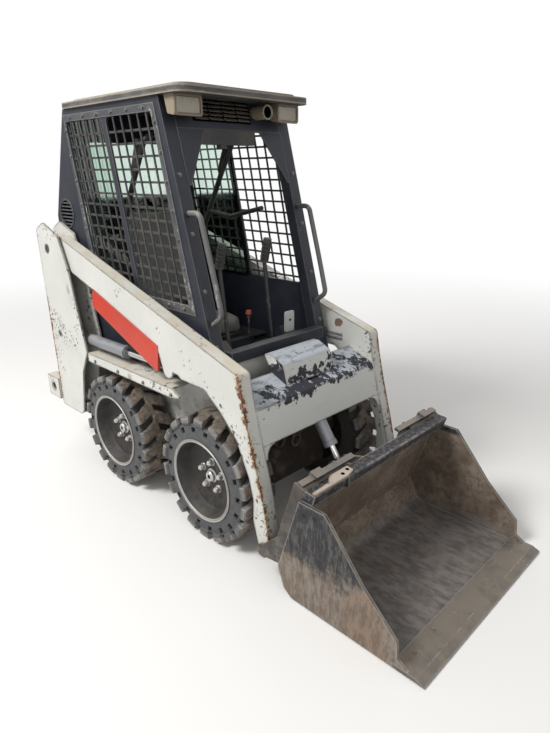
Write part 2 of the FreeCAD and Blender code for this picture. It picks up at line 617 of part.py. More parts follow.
# Lamps: two work lamps and a horn under the roof's front edge, and two tail lamps on the towers.
lamp_x, lamp_half, lamp_high = 272.0, 66.0, 76.0
lamp_front_e = 1265.0
lamps = []
for name, side in SIDES:
    body = plate([(lamp_front_e, CAB_TOP_Z - lamp_high, 6.0),
                  (lamp_front_e + 44.0, CAB_TOP_Z - lamp_high + 8, 12.0),
                  (lamp_front_e + 62.0, CAB_TOP_Z - 4.0), (lamp_front_e + 62.0, CAB_TOP_Z),
                  (lamp_front_e, CAB_TOP_Z)],
                 side * (lamp_x - lamp_half), side * (lamp_x + lamp_half))
    recess = box(side * (lamp_x - lamp_half + 7), side * (lamp_x + lamp_half - 7), lamp_front_e - 1,
                 lamp_front_e + 4.0, CAB_TOP_Z - lamp_high + 7, CAB_TOP_Z - 8)
    lamps.append(body.cut(recess))
horn_x, horn_z, horn_radius = 150.0, CAB_TOP_Z - 38.0, 28.0
horn = rod(horn_radius, (horn_x, lamp_front_e + 8.0, horn_z), (horn_x, cab_front_e(horn_z) + 10.0, horn_z))
lamps.append(horn.cut(nodes["cab_frame"]))
tail_slope = (tower_rear_high[0] - tower_rear_low[0]) / (tower_rear_high[1] - tower_rear_low[1])
tail_low, tail_high = 980.0, 1070.0
tail_low_e = tower_rear_low[0] + tail_slope * (tail_low - tower_rear_low[1])
tail_high_e = tower_rear_low[0] + tail_slope * (tail_high - tower_rear_low[1])
for name, side in SIDES:
    tail = plate([(tail_low_e - 2, tail_low), (tail_low_e + 26.0, tail_low, 8.0),
                  (tail_high_e + 26.0, tail_high, 8.0), (tail_high_e - 2, tail_high)],
                 side * 400.0, side * 436.0)
    lamps.append(tail.cut(nodes["tower_" + name]))
nodes["lamps"] = Part.makeCompound(lamps)

# Grab handles on the front pillars.
handle_x = CAB_HALF - 29.0
handle_radius = 11.0
handles = []
for name, side in SIDES:
    route = [(side * handle_x, cab_front_e(1347.0) + 10.0, 1347.0), (side * handle_x, 1172.0, 1350.0),
             (side * handle_x, 1104.0, 1120.0), (side * handle_x, 1060.0, 962.0),
             (side * handle_x, cab_front_e(912.0) + 10.0, 912.0)]
    handles.append(tube(handle_radius, route, 32.0).cut(cab_side_plates))
nodes["grab_handles"] = Part.makeCompound(handles)


# Lift arms: a sloping beam from the tower, and a leg that bends down in front of the tyre.
def round_tyre(gap, degrees):
    """A place at a gap outside the front tyre, at an angle about its axle."""
    reach = TYRE_RADIUS + gap
    turn = math.radians(degrees)
    return FRONT_AXLE_E + reach * math.cos(turn), AXLE_Z + reach * math.sin(turn)


arm_tip_radius = 34.0
arm_slope = math.tan(math.radians(17.1))
arm_top_front = (843.0, 802.0)
arm_top_rear_e = PIVOT_E - 65.0
arm_top_rear = (arm_top_rear_e, arm_top_front[1] + (arm_top_rear_e - arm_top_front[0]) * arm_slope)
arm_under_rear_z = PIVOT_Z - 60.0
arm_outline = [
    arm_top_rear + (30.0,),
    arm_top_front + (24.0,),
    (824.0, 700.0, 60.0),
    (790.0, 566.0, 60.0),
    (745.0, 410.0, 60.0),
    (716.0, 300.0, 60.0),
    (TOOL_PIN_E - arm_tip_radius, TOOL_PIN_Z),
    (TOOL_PIN_E + arm_tip_radius - 2.0, TOOL_PIN_Z),
    round_tyre(ARM_TYRE_GAP + 3.0, 190.0),
    round_tyre(ARM_TYRE_GAP + 3.0, 173.0),
    round_tyre(ARM_TYRE_GAP + 4.0, 157.0),
    round_tyre(ARM_TYRE_GAP + 34.0, 130.0) + (60.0,),
    round_tyre(ARM_TYRE_GAP + 64.0, 111.0) + (60.0,),
    (1045.0, 697.0, 20.0),
    (1196.0, 700.0, 20.0),
    (1323.0, 801.0, 20.0),
    (1784.0, 957.0),
    (PIVOT_E - 70.0, arm_under_rear_z, 30.0),
]
rod_eye_radius = 25.0
rod_eye_half = 20.0
bracket_radius = 34.0
bracket_plate = 8.0
bracket_outline = [
    (LIFT_EYE_E - bracket_radius, LIFT_EYE_Z),
    (LIFT_EYE_E + bracket_radius, LIFT_EYE_Z),
    (1360.0, 826.0),
    (1200.0, 790.0),
    (1190.0, 710.0),
]
for name, side in SIDES:
    outer_x, inner_x = side * ARM_OUTER_X, side * ARM_INNER_X
    beam = join([plate(arm_outline, inner_x, outer_x),
                 pin(ARM_HEEL_RADIUS, inner_x, outer_x, PIVOT_E, PIVOT_Z),
                 pin(arm_tip_radius, inner_x, outer_x, TOOL_PIN_E, TOOL_PIN_Z)])
    shape = Part.Face(wire([at(0, p[0], p[1]) for p in arm_outline], [p[2] if len(p) > 2 else 0.0
                                                                     for p in arm_outline]))
    hollow = shape.makeOffset2D(-PLATE).extrude(Vector(side * (ARM_WIDTH - 2 * PLATE), 0, 0))
    hollow.translate(Vector(side * (ARM_INNER_X + PLATE), 0, 0))
    bosses = join([pin(ARM_HEEL_RADIUS, inner_x, outer_x, PIVOT_E, PIVOT_Z),
                   pin(arm_tip_radius + 8, inner_x, outer_x, TOOL_PIN_E, TOOL_PIN_Z)])
    middle_x = side * ARM_MID_X
    plates = []
    for offset in (-1, 1):
        near = middle_x + offset * (rod_eye_half + 2.0)
        plates.append(join([plate(bracket_outline, near, near + offset * bracket_plate),
                            pin(bracket_radius, near, near + offset * bracket_plate, LIFT_EYE_E,
                                LIFT_EYE_Z)]))
    bores = [pin(PIN_RADIUS + FIT, inner_x - side, outer_x + side, PIVOT_E, PIVOT_Z),
             pin(SMALL_PIN_RADIUS + FIT, inner_x - side, outer_x + side, TOOL_PIN_E, TOOL_PIN_Z)]
    nodes["arm_" + name] = less(join([beam.cut(hollow.cut(bosses))] + plates), bores)

# Cross-member: a front plate with an arched corner at each arm, a tread plate on top and two webs.
cross_half = ARM_INNER_X
cross_top = (816.0, 657.0)
cross_low = (778.0, 512.0)
cross_rear = (955.0, 716.0)
cross_front = [cross_low + (6.0,), (cross_low[0] + BAR, cross_low[1]),
               (cross_top[0] + BAR, cross_top[1] - 4.0),
               cross_top + (8.0,)]
cross_tread = [cross_top + (6.0,), (cross_top[0] + 4.0, cross_top[1] - BAR),
               (cross_rear[0], cross_rear[1] - BAR),
               cross_rear]
arch_radius, arch_strip = 48.0, 14.0
arch_z = cross_low[1] - arch_radius
front_slope = (cross_top[0] - cross_low[0]) / (cross_top[1] - cross_low[1])
corner_low_e = cross_low[0] - front_slope * arch_radius
corner_plate = [(corner_low_e, arch_z), (corner_low_e + BAR, arch_z),
                (cross_low[0] + BAR + 1.0, cross_low[1] + 4.0),
                (cross_low[0] + 1.0, cross_low[1] + 4.0)]
web_outline = [(cross_low[0] + BAR - 2, cross_low[1] + 20.0), (cross_top[0] + BAR, cross_top[1] - BAR),
               (cross_rear[0] - 10.0, cross_rear[1] - BAR),
               (cross_rear[0] - 10.0, cross_rear[1] - 70.0, 20.0),
               (cross_low[0] + 60.0, cross_low[1] + 20.0, 20.0)]
ear_half_gap = 35.0
tilt_ear_radius = 36.0
ear_outline = [(880.0, 690.0), (cross_rear[0] + 6.0, cross_rear[1] - 4.0),
               (TILT_BASE_E + 10, TILT_BASE_Z + 34.0),
               (TILT_BASE_E - 30.0, TILT_BASE_Z + 36.0)]
cross_pieces = [plate(cross_front, -cross_half, cross_half), plate(cross_tread, -cross_half, cross_half)]
for name, side in SIDES:
    arch_x = side * (cross_half - arch_strip - arch_radius)
    arch = rod(arch_radius, (arch_x, corner_low_e - BAR, arch_z), (arch_x, cross_top[0], arch_z))
    cross_pieces.append(plate(corner_plate, arch_x, side * cross_half).cut(arch))
    cross_pieces.append(plate(web_outline, side * (cross_half - 44.0), side * (cross_half - 36.0)))
    ear_x = side * ear_half_gap
    cross_pieces.append(plate(ear_outline, ear_x, ear_x + side * BAR))
    cross_pieces.append(pin(tilt_ear_radius, ear_x, ear_x + side * BAR, TILT_BASE_E, TILT_BASE_Z))
cross_pieces.append(pin(SMALL_PIN_RADIUS, -ear_half_gap - BAR, ear_half_gap + BAR, TILT_BASE_E, TILT_BASE_Z))
slot_half = ear_half_gap + BAR
tread_slot = box(-slot_half, slot_half, cross_top[0] + 40.0, cross_rear[0] + 30.0, cross_low[1],
                 cross_rear[1] + 1)
cross_cut = join(cross_pieces[:2]).cut(tread_slot)
nodes["cross_member"] = join([cross_cut] + cross_pieces[2:])

# Guard over the tilt cylinder's upper end: a bent cover, open in front and below.
cover_outline = [(868.0, 677.0), (892.0, 762.0, 26.0), (958.0, 792.0, 26.0), (1000.0, 789.0, 8.0),
                 (996.0, 781.0),
                 (960.0, 783.0, 18.0), (898.0, 755.0, 18.0), (877.0, 681.0)]
cover_side = [(868.0, 677.0), (892.0, 762.0, 26.0), (958.0, 792.0, 26.0), (1000.0, 789.0, 8.0),
              (cross_rear[0], cross_rear[1])]
guard_low, guard_high = -150.0, 150.0
guard = [plate(cover_outline, guard_low, guard_high)]
for x in (guard_low, guard_high - PLATE):
    guard.append(plate(cover_side, x, x + PLATE))
nodes["tilt_cover"] = join(guard).cut(nodes["cross_member"])

# Arm support: the flat bar that hangs under the right arm and props it up for service.
support_outline = [(1358.0, 690.0, 10.0), (1342.0, 812.0), (1850.0, 985.0), (1872.0, 898.0, 12.0)]
support = plate(support_outline, -(ARM_OUTER_X - 12.0), -(ARM_OUTER_X + 3.0))
nodes["arm_support"] = support.cut(nodes["arm_right"])

# Coupler: a leaning frame behind the bucket, with ears for the arm pins and the tilt cylinder.
coupler_low = (618.0, 132.0)
coupler_high = (508.0, 480.0)
lean_run = (coupler_high[0] - coupler_low[0], coupler_high[1] - coupler_low[1])
lean_length = math.hypot(*lean_run)
lean_up = (lean_run[0] / lean_length, lean_run[1] / lean_length)
lean_back = (lean_up[1], -lean_up[0])


def on_coupler(up, back):
    """A place on the leaning frame: up its face from the lower edge, and back from it."""
    return (coupler_low[0] + lean_up[0] * up + lean_back[0] * back,
            coupler_low[1] + lean_up[1] * up + lean_back[1] * back)


coupler_depth = 46.0
shoulder_inner_x = 230.0
coupler_half = BUCKET_HALF - 9.0
ear_clear = 5.0
tool_ear_radius = SMALL_PIN_RADIUS + 14.0
shoulder_height = lean_length - 2.0
centre_height = lean_length - 62.0


def leaning(up0, up1, back0, back1, x0, x1):
    """A block square to the leaning frame."""
    return plate([on_coupler(up0, back0), on_coupler(up1, back0), on_coupler(up1, back1),
                  on_coupler(up0, back1)],
                 x0, x1)


frame = [leaning(-20.0, centre_height, 0.0, BAR, -coupler_half, coupler_half),
         leaning(-20.0, 14.0, 0.0, coupler_depth, -coupler_half, coupler_half)]
for name, side in SIDES:
    shoulder, end = side * shoulder_inner_x, side * coupler_half
    frame.append(leaning(-20.0, shoulder_height, 0.0, BAR, shoulder, end))
    frame.append(leaning(shoulder_height - 16.0, shoulder_height, 0.0, coupler_depth - 6.0, shoulder, end))
    frame.append(leaning(-20.0, shoulder_height, 0.0, coupler_depth, shoulder, shoulder + side * BAR))
    arm_gaps = ((side * (ARM_INNER_X - ear_clear), -side), (side * (ARM_OUTER_X + ear_clear), side))
    for near, outward in arm_gaps:
        far = near + outward * PLATE
        ear = plate([on_coupler(-20.0, BAR / 2), on_coupler(150.0, BAR / 2), on_coupler(90.0, coupler_depth),
                     (TOOL_PIN_E + 8.0, TOOL_PIN_Z + 20.0), (TOOL_PIN_E + 4.0, TOOL_PIN_Z - 22.0)], near, far)
        frame.append(join([ear, pin(tool_ear_radius, near, far, TOOL_PIN_E, TOOL_PIN_Z)]))
    rib_x = side * (ARM_OUTER_X + ear_clear)
    frame.append(leaning(-20.0, shoulder_height, 0.0, coupler_depth, rib_x, rib_x + side * PLATE))
    frame.append(pin(SMALL_PIN_RADIUS, side * (ARM_INNER_X - ear_clear - PLATE),
                     side * (ARM_OUTER_X + ear_clear + PLATE),
                     TOOL_PIN_E, TOOL_PIN_Z))
    ear_x = side * ear_half_gap
    eye_ear = plate([on_coupler(120.0, BAR / 2), on_coupler(280.0, BAR / 2),
                     (TILT_EYE_E + 10.0, TILT_EYE_Z + 29.0),
                     (TILT_EYE_E + 4.0, TILT_EYE_Z - 29.0)], ear_x, ear_x + side * BAR)
    frame.append(join([eye_ear, pin(30.0, ear_x, ear_x + side * BAR, TILT_EYE_E, TILT_EYE_Z)]))
nodes["coupler"] = join(frame)

# Coupler levers: a flat bar and a round grip on top of each shoulder.
levers = []
for name, side in SIDES:
    inside, outside = side * 150.0, side * (coupler_half - 4.0)
    top = shoulder_height
    lever_bar = leaning(top, top + 12.0, 10.0, 34.0, inside, outside)
    turn = leaning(top, top + 22.0, 4.0, 40.0, side * 330.0, side * 380.0)
    levers.append(join([lever_bar, turn]))
nodes["coupler_levers"] = Part.makeCompound(levers)

# Bucket: a folded shell between two thick side plates, with a rim folded forwards and down.
heel = (574.0, FLOOR_GAP)
back_low = on_coupler(-20.0, 0.0)
back_top = on_coupler(lean_length - 4.0, 0.0)
rim_drop = 46.0
rim_front = (back_top[0] - 50.0, back_top[1] - 4.0)
rim_low = (rim_front[0] - lean_up[0] * rim_drop, rim_front[1] - lean_up[1] * rim_drop)
rim_behind = (rim_low[0] + lean_back[0] * BUCKET_WALL, rim_low[1] + lean_back[1] * BUCKET_WALL)
rim_under = rim_drop - BUCKET_WALL - 2.0
shell_outer = [(EDGE_DEPTH, FLOOR_GAP), heel + (60.0,), back_low + (20.0,), back_top, rim_front + (6.0,),
               rim_low,
               rim_behind, (rim_behind[0] + lean_up[0] * rim_under, rim_behind[1] + lean_up[1] * rim_under),
               on_coupler(lean_length - 16.0, -BUCKET_WALL)]
shell_outer += [(back_low[0] - 8.6, back_low[1] + 2.0, 12.0), (heel[0] - 4.5, FLOOR_GAP + BUCKET_WALL, 52.0),
                (EDGE_DEPTH, FLOOR_GAP + BUCKET_WALL)]
rim_end = [back_top, rim_front + (6.0,), rim_low, on_coupler(lean_length - rim_drop - 6.0, 0.0)]
side_top = on_coupler(lean_length - 50.0, 0.0)
shell_half = BUCKET_HALF - BUCKET_SIDE
side_outline = [(60.0, FLOOR_GAP + EDGE_THICK), (99.0, 42.0), (106.0, 108.0, 10.0), (246.0, 238.0, 30.0),
                (408.0, side_top[1] - 2.0, 12.0), side_top, back_low + (14.0,),
                (heel[0] + 20.0, 30.0, 30.0), (heel[0] - 20.0, FLOOR_GAP, 20.0), (EDGE_DEPTH, FLOOR_GAP),
                (EDGE_DEPTH, FLOOR_GAP + EDGE_THICK)]
bucket = [plate(shell_outer, -shell_half, shell_half)]
for name, side in SIDES:
    bucket.append(plate(side_outline, side * shell_half, side * BUCKET_HALF))
    bucket.append(plate(rim_end, side * (shell_half - BUCKET_WALL), side * shell_half))
nodes["bucket"] = join(bucket)

# Cutting edge: a thick bevelled blade with a row of bolt holes.
edge_half = BUCKET_HALF
edge_bevel = 30.0
blade = plate([(0.0, FLOOR_GAP), (EDGE_DEPTH, FLOOR_GAP), (EDGE_DEPTH, FLOOR_GAP + EDGE_THICK),
               (edge_bevel, FLOOR_GAP + EDGE_THICK), (0.0, FLOOR_GAP + 3.0)], -edge_half, edge_half)
bolt_pitch = 240.0
bolt_radius = 8.5
bolt_e = 78.0
bolt_holes = [Part.makeCylinder(bolt_radius, EDGE_THICK + 2,
                                at(bolt_pitch * (n - 1.5), bolt_e, FLOOR_GAP - 1))
              for n in range(4)]
nodes["cutting_edge"] = less(blade, bolt_holes)

# Cylinders: a barrel that turns on its base pin, and a rod that slides in it.
barrel_radius = 28.0
barrel_bore = 19.0
gland_radius = 31.0
gland_length = 22.0
rod_radius = 14.0


def cylinder(x, base, eye, shut, gland, base_half, eye_half, eye_radius):
    """A barrel and its rod between two pins (E, Z); shut is the pins' shortest spacing."""
    run = at(x, *eye) - at(x, *base)
    way = run.normalize()
    start = at(x, *base)

    def span(radius, low, high):
        return Part.makeCylinder(radius, high - low, start + way * low, way)

    eye_back = 24.0
    barrel = join([span(barrel_radius, eye_back, gland), span(gland_radius, gland - gland_length, gland),
                   pin(barrel_radius + 2.0, x - base_half, x + base_half, *base)])
    barrel = less(barrel, [span(barrel_bore, eye_back + 14.0, gland - gland_length + 8.0),
                           span(rod_radius + FIT, gland - gland_length, gland + 1.0),
                           pin(SMALL_PIN_RADIUS + FIT, x - 60.0, x + 60.0, *base)])
    length = math.hypot(eye[0] - base[0], eye[1] - base[1])
    rod_start = length - (shut - eye_back - 18.0)
    piston = span(barrel_bore - FIT, rod_start, rod_start + 12.0)
    stem = span(rod_radius, rod_start, length - eye_radius + 4.0)
    head = pin(eye_radius, x - eye_half, x + eye_half, *eye)
    return barrel, join([piston, stem, head])


lift_base = (LIFT_BASE_E, LIFT_BASE_Z)
lift_eye = (LIFT_EYE_E, LIFT_EYE_Z)
lift_shut = math.hypot(LIFT_EYE_E - LIFT_BASE_E, LIFT_EYE_Z - LIFT_BASE_Z)
lift_gland = 582.0
for name, side in SIDES:
    barrel, stem = cylinder(side * ARM_MID_X, lift_base, lift_eye, lift_shut, lift_gland, barrel_radius,
                             rod_eye_half, rod_eye_radius)
    nodes["lift_barrel_" + name] = barrel
    nodes["lift_rod_" + name] = stem
tilt_gland = 412.0
tilt_shut = 441.0
nodes["tilt_barrel"], nodes["tilt_rod"] = cylinder(0.0, (TILT_BASE_E, TILT_BASE_Z), (TILT_EYE_E, TILT_EYE_Z),
                                                   tilt_shut, tilt_gland, ear_half_gap - 5.0,
                                                   ear_half_gap - 5.0, 22.0)

# Seat bar: raised against the roof at rest, hinged on a boss at each side of the seat.
raised = (1600.0, 1650.0)
bend = (1712.0, 1476.0)
loop = [(-bar_x, bar_pivot_e, bar_pivot_z), (-bar_x,) + bend, (-bar_x,) + raised,
        (bar_x,) + raised, (bar_x,) + bend, (bar_x, bar_pivot_e, bar_pivot_z)]
bar_parts = [tube(bar_radius - 1.0, loop, 46.0)]
for name, side in SIDES:
    bar_parts.append(pin(24.0, side * (bar_x - bar_radius), side * (bar_x + bar_radius), bar_pivot_e,
                         bar_pivot_z))
grip_start = along((bar_pivot_e, bar_pivot_z), bend, 0.42)
grip_route = [(bar_x,) + grip_start, (bar_x, 1640.0, 1284.0), (bar_x, 1412.0, 1334.0)]
bar_parts.append(tube(11.0, grip_route, 30.0))
nodes["seat_bar"] = join(bar_parts)

# Tailgate: a shallow pan with a louvred middle, hinged on the left behind the cab's wall.
gate_rear_e = GATE_FRONT_E + 40.0
gate_wall = 5.0
hinge_x, hinge_e = CAB_HALF, GATE_FRONT_E - 9.0
knuckle_radius = 7.0
gate_box = box(-GATE_HALF, GATE_HALF, GATE_FRONT_E, gate_rear_e, GATE_LOW_Z, GATE_TOP_Z)
gate_inner = box(-GATE_HALF + gate_wall, GATE_HALF - gate_wall, GATE_FRONT_E - 1, gate_rear_e - gate_wall,
                 GATE_LOW_Z + gate_wall, GATE_TOP_Z - gate_wall)
louvre_pitch = 36.0
louvres = [box(-220.0, 220.0, gate_rear_e - gate_wall - 1, gate_rear_e + 1,
               GATE_LOW_Z + 220.0 + louvre_pitch * n,
               GATE_LOW_Z + 238.0 + louvre_pitch * n) for n in range(10)]
gate_parts = [less(gate_box, [gate_inner] + louvres)]
knuckles = []
for low in (DECK_Z + 60.0, GATE_TOP_Z - 120.0):
    gate_parts.append(Part.makeCylinder(knuckle_radius, 40.0, at(hinge_x, hinge_e, low)))
    gate_parts.append(box(GATE_HALF - gate_wall, hinge_x + 4.0, hinge_e, GATE_FRONT_E + 14.0, low,
                          low + 40.0))
    for step in (-40.0 - FIT, 40.0 + FIT):
        knuckles.append(Part.makeCylinder(knuckle_radius, 40.0, at(hinge_x, hinge_e, low + step)))
        knuckles.append(box(cab_inner, CAB_HALF, cab_rear_low[0], hinge_e, low + step, low + step + 40.0))
nodes["tailgate"] = join(gate_parts)
nodes["cab_sides"] = join([cab_side_plates] + knuckles)

# Wheels: a solid tyre with two staggered rows of blocks, on a turned rim with five nuts and a cap.
tyre_inner_x = TYRE_OUTER_X - TYRE_WIDTH
tyre_middle_x = TYRE_OUTER_X - TYRE_WIDTH / 2
seat_radius = RIM_RADIUS - 10.0
carcass_radius = TYRE_RADIUS - LUG_DEPTH
shoulder = 12.0
block_overlap = 6.0
lug_turn = math.tau / LUG_COUNT
lug_half = lug_turn * LUG_SHARE / 2
lug_lag = lug_turn * LUG_SWEEP / 2
lug_flat = TYRE_RADIUS * math.cos(lug_half + lug_lag)


def facets(radius, x, count):
    """A many-sided outline about the wheel's axis whose flats lie at a radius."""
    reach = radius / math.cos(math.pi / count)
    turns = [math.tau * (number + 0.5) / count for number in range(count)]
    points = [Vector(x, reach * math.cos(turn), reach * math.sin(turn)) for turn in turns]
    return Part.makePolygon(points + points[:1])


def lug(shoulder_x, middle_x, turn):
    """A flat-topped tread block that sweeps round the tyre from its shoulder to its middle."""
    root = carcass_radius - shoulder - 4.0
    footprint = [(shoulder_x, -lug_lag - lug_half), (middle_x, lug_lag - lug_half),
                 (middle_x, lug_lag + lug_half), (shoulder_x, -lug_lag + lug_half)]
    points = [Vector(x, lug_flat * math.tan(angle), root) for x, angle in footprint]
    block = Part.Face(Part.makePolygon(points + points[:1])).extrude(Vector(0, 0, lug_flat - root))
    block.rotate(Vector(0, 0, 0), Vector(1, 0, 0), math.degrees(turn))
    return block


def lugged_tyre(side, axle_e):
    """The tyre's flat-sided body with its blocks fused on and its seat on the rim cut out."""
    sections = [(tyre_inner_x, carcass_radius - shoulder), (tyre_inner_x + shoulder, carcass_radius),
                (TYRE_OUTER_X - shoulder, carcass_radius), (TYRE_OUTER_X, carcass_radius - shoulder)]
    carcass = Part.makeLoft([facets(radius, side * x, LUG_COUNT) for x, radius in sections], True, True)
    blocks = []
    for number in range(LUG_COUNT):
        turn = lug_turn * number
        blocks.append(lug(side * TYRE_OUTER_X, side * (tyre_middle_x - block_overlap), turn))
        blocks.append(lug(side * tyre_inner_x, side * (tyre_middle_x + block_overlap), turn + lug_turn / 2))
    bore = Part.Face(facets(seat_radius, side * (tyre_inner_x - 1), 2 * LUG_COUNT))
    tyre = carcass.multiFuse(blocks).cut(bore.extrude(Vector(side * (TYRE_WIDTH + 2), 0, 0))).removeSplitter()
    tyre.translate(at(0, axle_e, AXLE_Z))
    return tyre


disc_x = HUB_END_X + FIT
rim_profile = [(disc_x, 0.0), (disc_x, 96.0), (TYRE_OUTER_X - 74.0, seat_radius - 7.0),
               (tyre_inner_x + 4.0, seat_radius - 7.0), (tyre_inner_x + 4.0, seat_radius),
               (TYRE_OUTER_X, seat_radius), (TYRE_OUTER_X, RIM_RADIUS), (TYRE_OUTER_X + 3.0, RIM_RADIUS),
               (TYRE_OUTER_X + 3.0, seat_radius - 8.0), (TYRE_OUTER_X - 64.0, seat_radius - 10.0),
               (disc_x + 9.0, 92.0), (disc_x + 9.0, 0.0)]
nut_circle, nut_radius, nut_length = 66.0, 12.0, 30.0
cap_radius, cap_length = 34.0, 52.0
for place, axle_e in (("front", FRONT_AXLE_E), ("rear", REAR_AXLE_E)):
    for name, side in SIDES:
        rim = ring(rim_profile, side, axle_e, AXLE_Z)
        outside = side * (disc_x + 8.0)
        studs = [pin(cap_radius, outside, side * (disc_x + cap_length), axle_e, AXLE_Z)]
        for number in range(5):
            turn = math.radians(90.0 + 72.0 * number)
            studs.append(pin(nut_radius, outside, outside + side * nut_length,
                             axle_e + nut_circle * math.cos(turn), AXLE_Z + nut_circle * math.sin(turn)))
        nodes["tyre_%s_%s" % (place, name)] = lugged_tyre(side, axle_e)
        nodes["rim_%s_%s" % (place, name)] = join([rim] + studs)

os.makedirs("parts", exist_ok=True)
for name, shape in nodes.items():
    shape.exportStep("parts/%s.step" % name)
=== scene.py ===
"""Looks for the compact skid steer loader: finishes, tyres, seat, trim, stage and camera.

Lengths are in metres. Y runs back along the machine, X to its left and Z up, as in the frame.
"""

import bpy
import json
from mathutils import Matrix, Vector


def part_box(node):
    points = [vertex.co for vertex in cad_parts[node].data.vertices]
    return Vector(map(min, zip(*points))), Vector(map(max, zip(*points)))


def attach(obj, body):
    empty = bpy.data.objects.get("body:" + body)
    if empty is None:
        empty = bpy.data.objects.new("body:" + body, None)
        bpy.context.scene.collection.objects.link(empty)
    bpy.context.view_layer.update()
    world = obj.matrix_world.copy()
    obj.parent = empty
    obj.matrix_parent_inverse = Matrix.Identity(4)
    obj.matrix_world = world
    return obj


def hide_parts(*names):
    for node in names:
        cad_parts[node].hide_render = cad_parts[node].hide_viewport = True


bl_info = {
    "name": "Skid Steer Loader Looks",
    "version": (1, 0, 0),
    "blender": (4, 5, 0),
    "location": "View3D > Sidebar > Loader",
    "description": "Dresses the packed loader frame with worn finishes, tyres, seat and trim",
    "category": "Object",
}

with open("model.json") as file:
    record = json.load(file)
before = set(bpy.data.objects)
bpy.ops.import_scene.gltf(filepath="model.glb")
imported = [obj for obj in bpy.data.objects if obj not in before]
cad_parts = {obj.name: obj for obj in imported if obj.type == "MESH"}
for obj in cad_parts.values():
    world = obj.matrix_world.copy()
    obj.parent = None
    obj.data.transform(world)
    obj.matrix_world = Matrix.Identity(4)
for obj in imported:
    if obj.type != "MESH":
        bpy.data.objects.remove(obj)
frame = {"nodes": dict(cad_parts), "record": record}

import json
import math

import bmesh
import bpy
from mathutils import Matrix, Vector

MACHINE_MIDDLE = 1.243
AXLE_HEIGHT = 0.280
FRONT_AXLE_Y = 1.082 - MACHINE_MIDDLE
REAR_AXLE_Y = 1.774 - MACHINE_MIDDLE
WHEELS = (("front_right", -1, FRONT_AXLE_Y), ("front_left", 1, FRONT_AXLE_Y),
          ("rear_right", -1, REAR_AXLE_Y), ("rear_left", 1, REAR_AXLE_Y))
SIDES = (("right", -1), ("left", 1))


def along(e):
    """The Y of a place measured back from the bucket's cutting edge."""
    return e - MACHINE_MIDDLE


# Scene properties

class LoaderFinish(bpy.types.PropertyGroup):
    """Colours and wear of the painted, steel and rubber surfaces."""
    body: bpy.props.FloatVectorProperty(
        name="Body paint", description="Paint of the arms, towers, tub and cross-member", subtype="COLOR",
        size=4, min=0.0, max=1.0, default=(0.585, 0.585, 0.550, 1.0))
    cab: bpy.props.FloatVectorProperty(
        name="Cab paint", description="Paint of the cab's frame and screens", subtype="COLOR",
        size=4, min=0.0, max=1.0, default=(0.011, 0.014, 0.024, 1.0))
    support: bpy.props.FloatVectorProperty(
        name="Arm support paint", description="Bright paint of the service bar", subtype="COLOR",
        size=4, min=0.0, max=1.0, default=(0.50, 0.036, 0.016, 1.0))
    rubber: bpy.props.FloatVectorProperty(
        name="Tyre rubber", description="Dusty rubber of the tyres", subtype="COLOR",
        size=4, min=0.0, max=1.0, default=(0.058, 0.059, 0.061, 1.0))
    rust: bpy.props.FloatVectorProperty(
        name="Rust", description="Rust that runs from edges and chips", subtype="COLOR",
        size=4, min=0.0, max=1.0, default=(0.26, 0.085, 0.026, 1.0))
    dust: bpy.props.FloatVectorProperty(
        name="Dust", description="Dried dust on upward faces and low parts", subtype="COLOR",
        size=4, min=0.0, max=1.0, default=(0.40, 0.34, 0.26, 1.0))
    wear: bpy.props.FloatProperty(
        name="Wear", description="How far all chips, rust and dust have gone", subtype="FACTOR",
        min=0.0, max=2.0, default=1.0)


class LoaderTyre(bpy.types.PropertyGroup):
    """Sizes of one tyre and its rim."""
    radius: bpy.props.FloatProperty(
        name="Radius", description="Radius over the tread blocks", unit="LENGTH", default=0.2795)
    outer_x: bpy.props.FloatProperty(
        name="Outer side", description="Distance of the outer sidewall from the middle", unit="LENGTH", default=0.4485)
    width: bpy.props.FloatProperty(
        name="Width", description="Width over both sidewalls", unit="LENGTH", default=0.169)
    lug_depth: bpy.props.FloatProperty(
        name="Tread depth", description="Height of the tread blocks", unit="LENGTH", default=0.027)
    lugs: bpy.props.IntProperty(
        name="Blocks", description="Tread blocks along each shoulder", min=8, max=40, default=18)
    lug_share: bpy.props.FloatProperty(
        name="Block share", description="Share of the turn that a block fills", subtype="FACTOR",
        min=0.2, max=0.9, default=0.56)
    rim_radius: bpy.props.FloatProperty(
        name="Rim radius", description="Outer radius of the rim's ring", unit="LENGTH", default=0.186)


class LoaderSeat(bpy.types.PropertyGroup):
    """The seat's covers and how full they are."""
    cover: bpy.props.FloatVectorProperty(
        name="Seat cover", description="Weathered vinyl of both cushions", subtype="COLOR",
        size=4, min=0.0, max=1.0, default=(0.15, 0.148, 0.140, 1.0))
    pressure: bpy.props.FloatProperty(
        name="Foam pressure", description="Pressure that rounds the covers", min=0.0, max=10.0, default=4.0)
    swell: bpy.props.FloatProperty(
        name="Swell", description="Furthest that a point of a cover moves", unit="LENGTH", default=0.016)


class LoaderStage(bpy.types.PropertyGroup):
    """Floor, light and camera."""
    floor: bpy.props.FloatVectorProperty(
        name="Floor", description="Colour of the floor", subtype="COLOR",
        size=4, min=0.0, max=1.0, default=(0.78, 0.77, 0.75, 1.0))
    sun: bpy.props.FloatProperty(
        name="Key light", description="Strength of the key light", min=0.0, max=10.0, default=1.9)
    sky: bpy.props.FloatProperty(
        name="Sky", description="Strength of the even light from all round", min=0.0, max=4.0, default=0.5)
    lens: bpy.props.FloatProperty(
        name="Lens", description="Focal length on a 36 mm frame", default=27.638)


# Shader groups

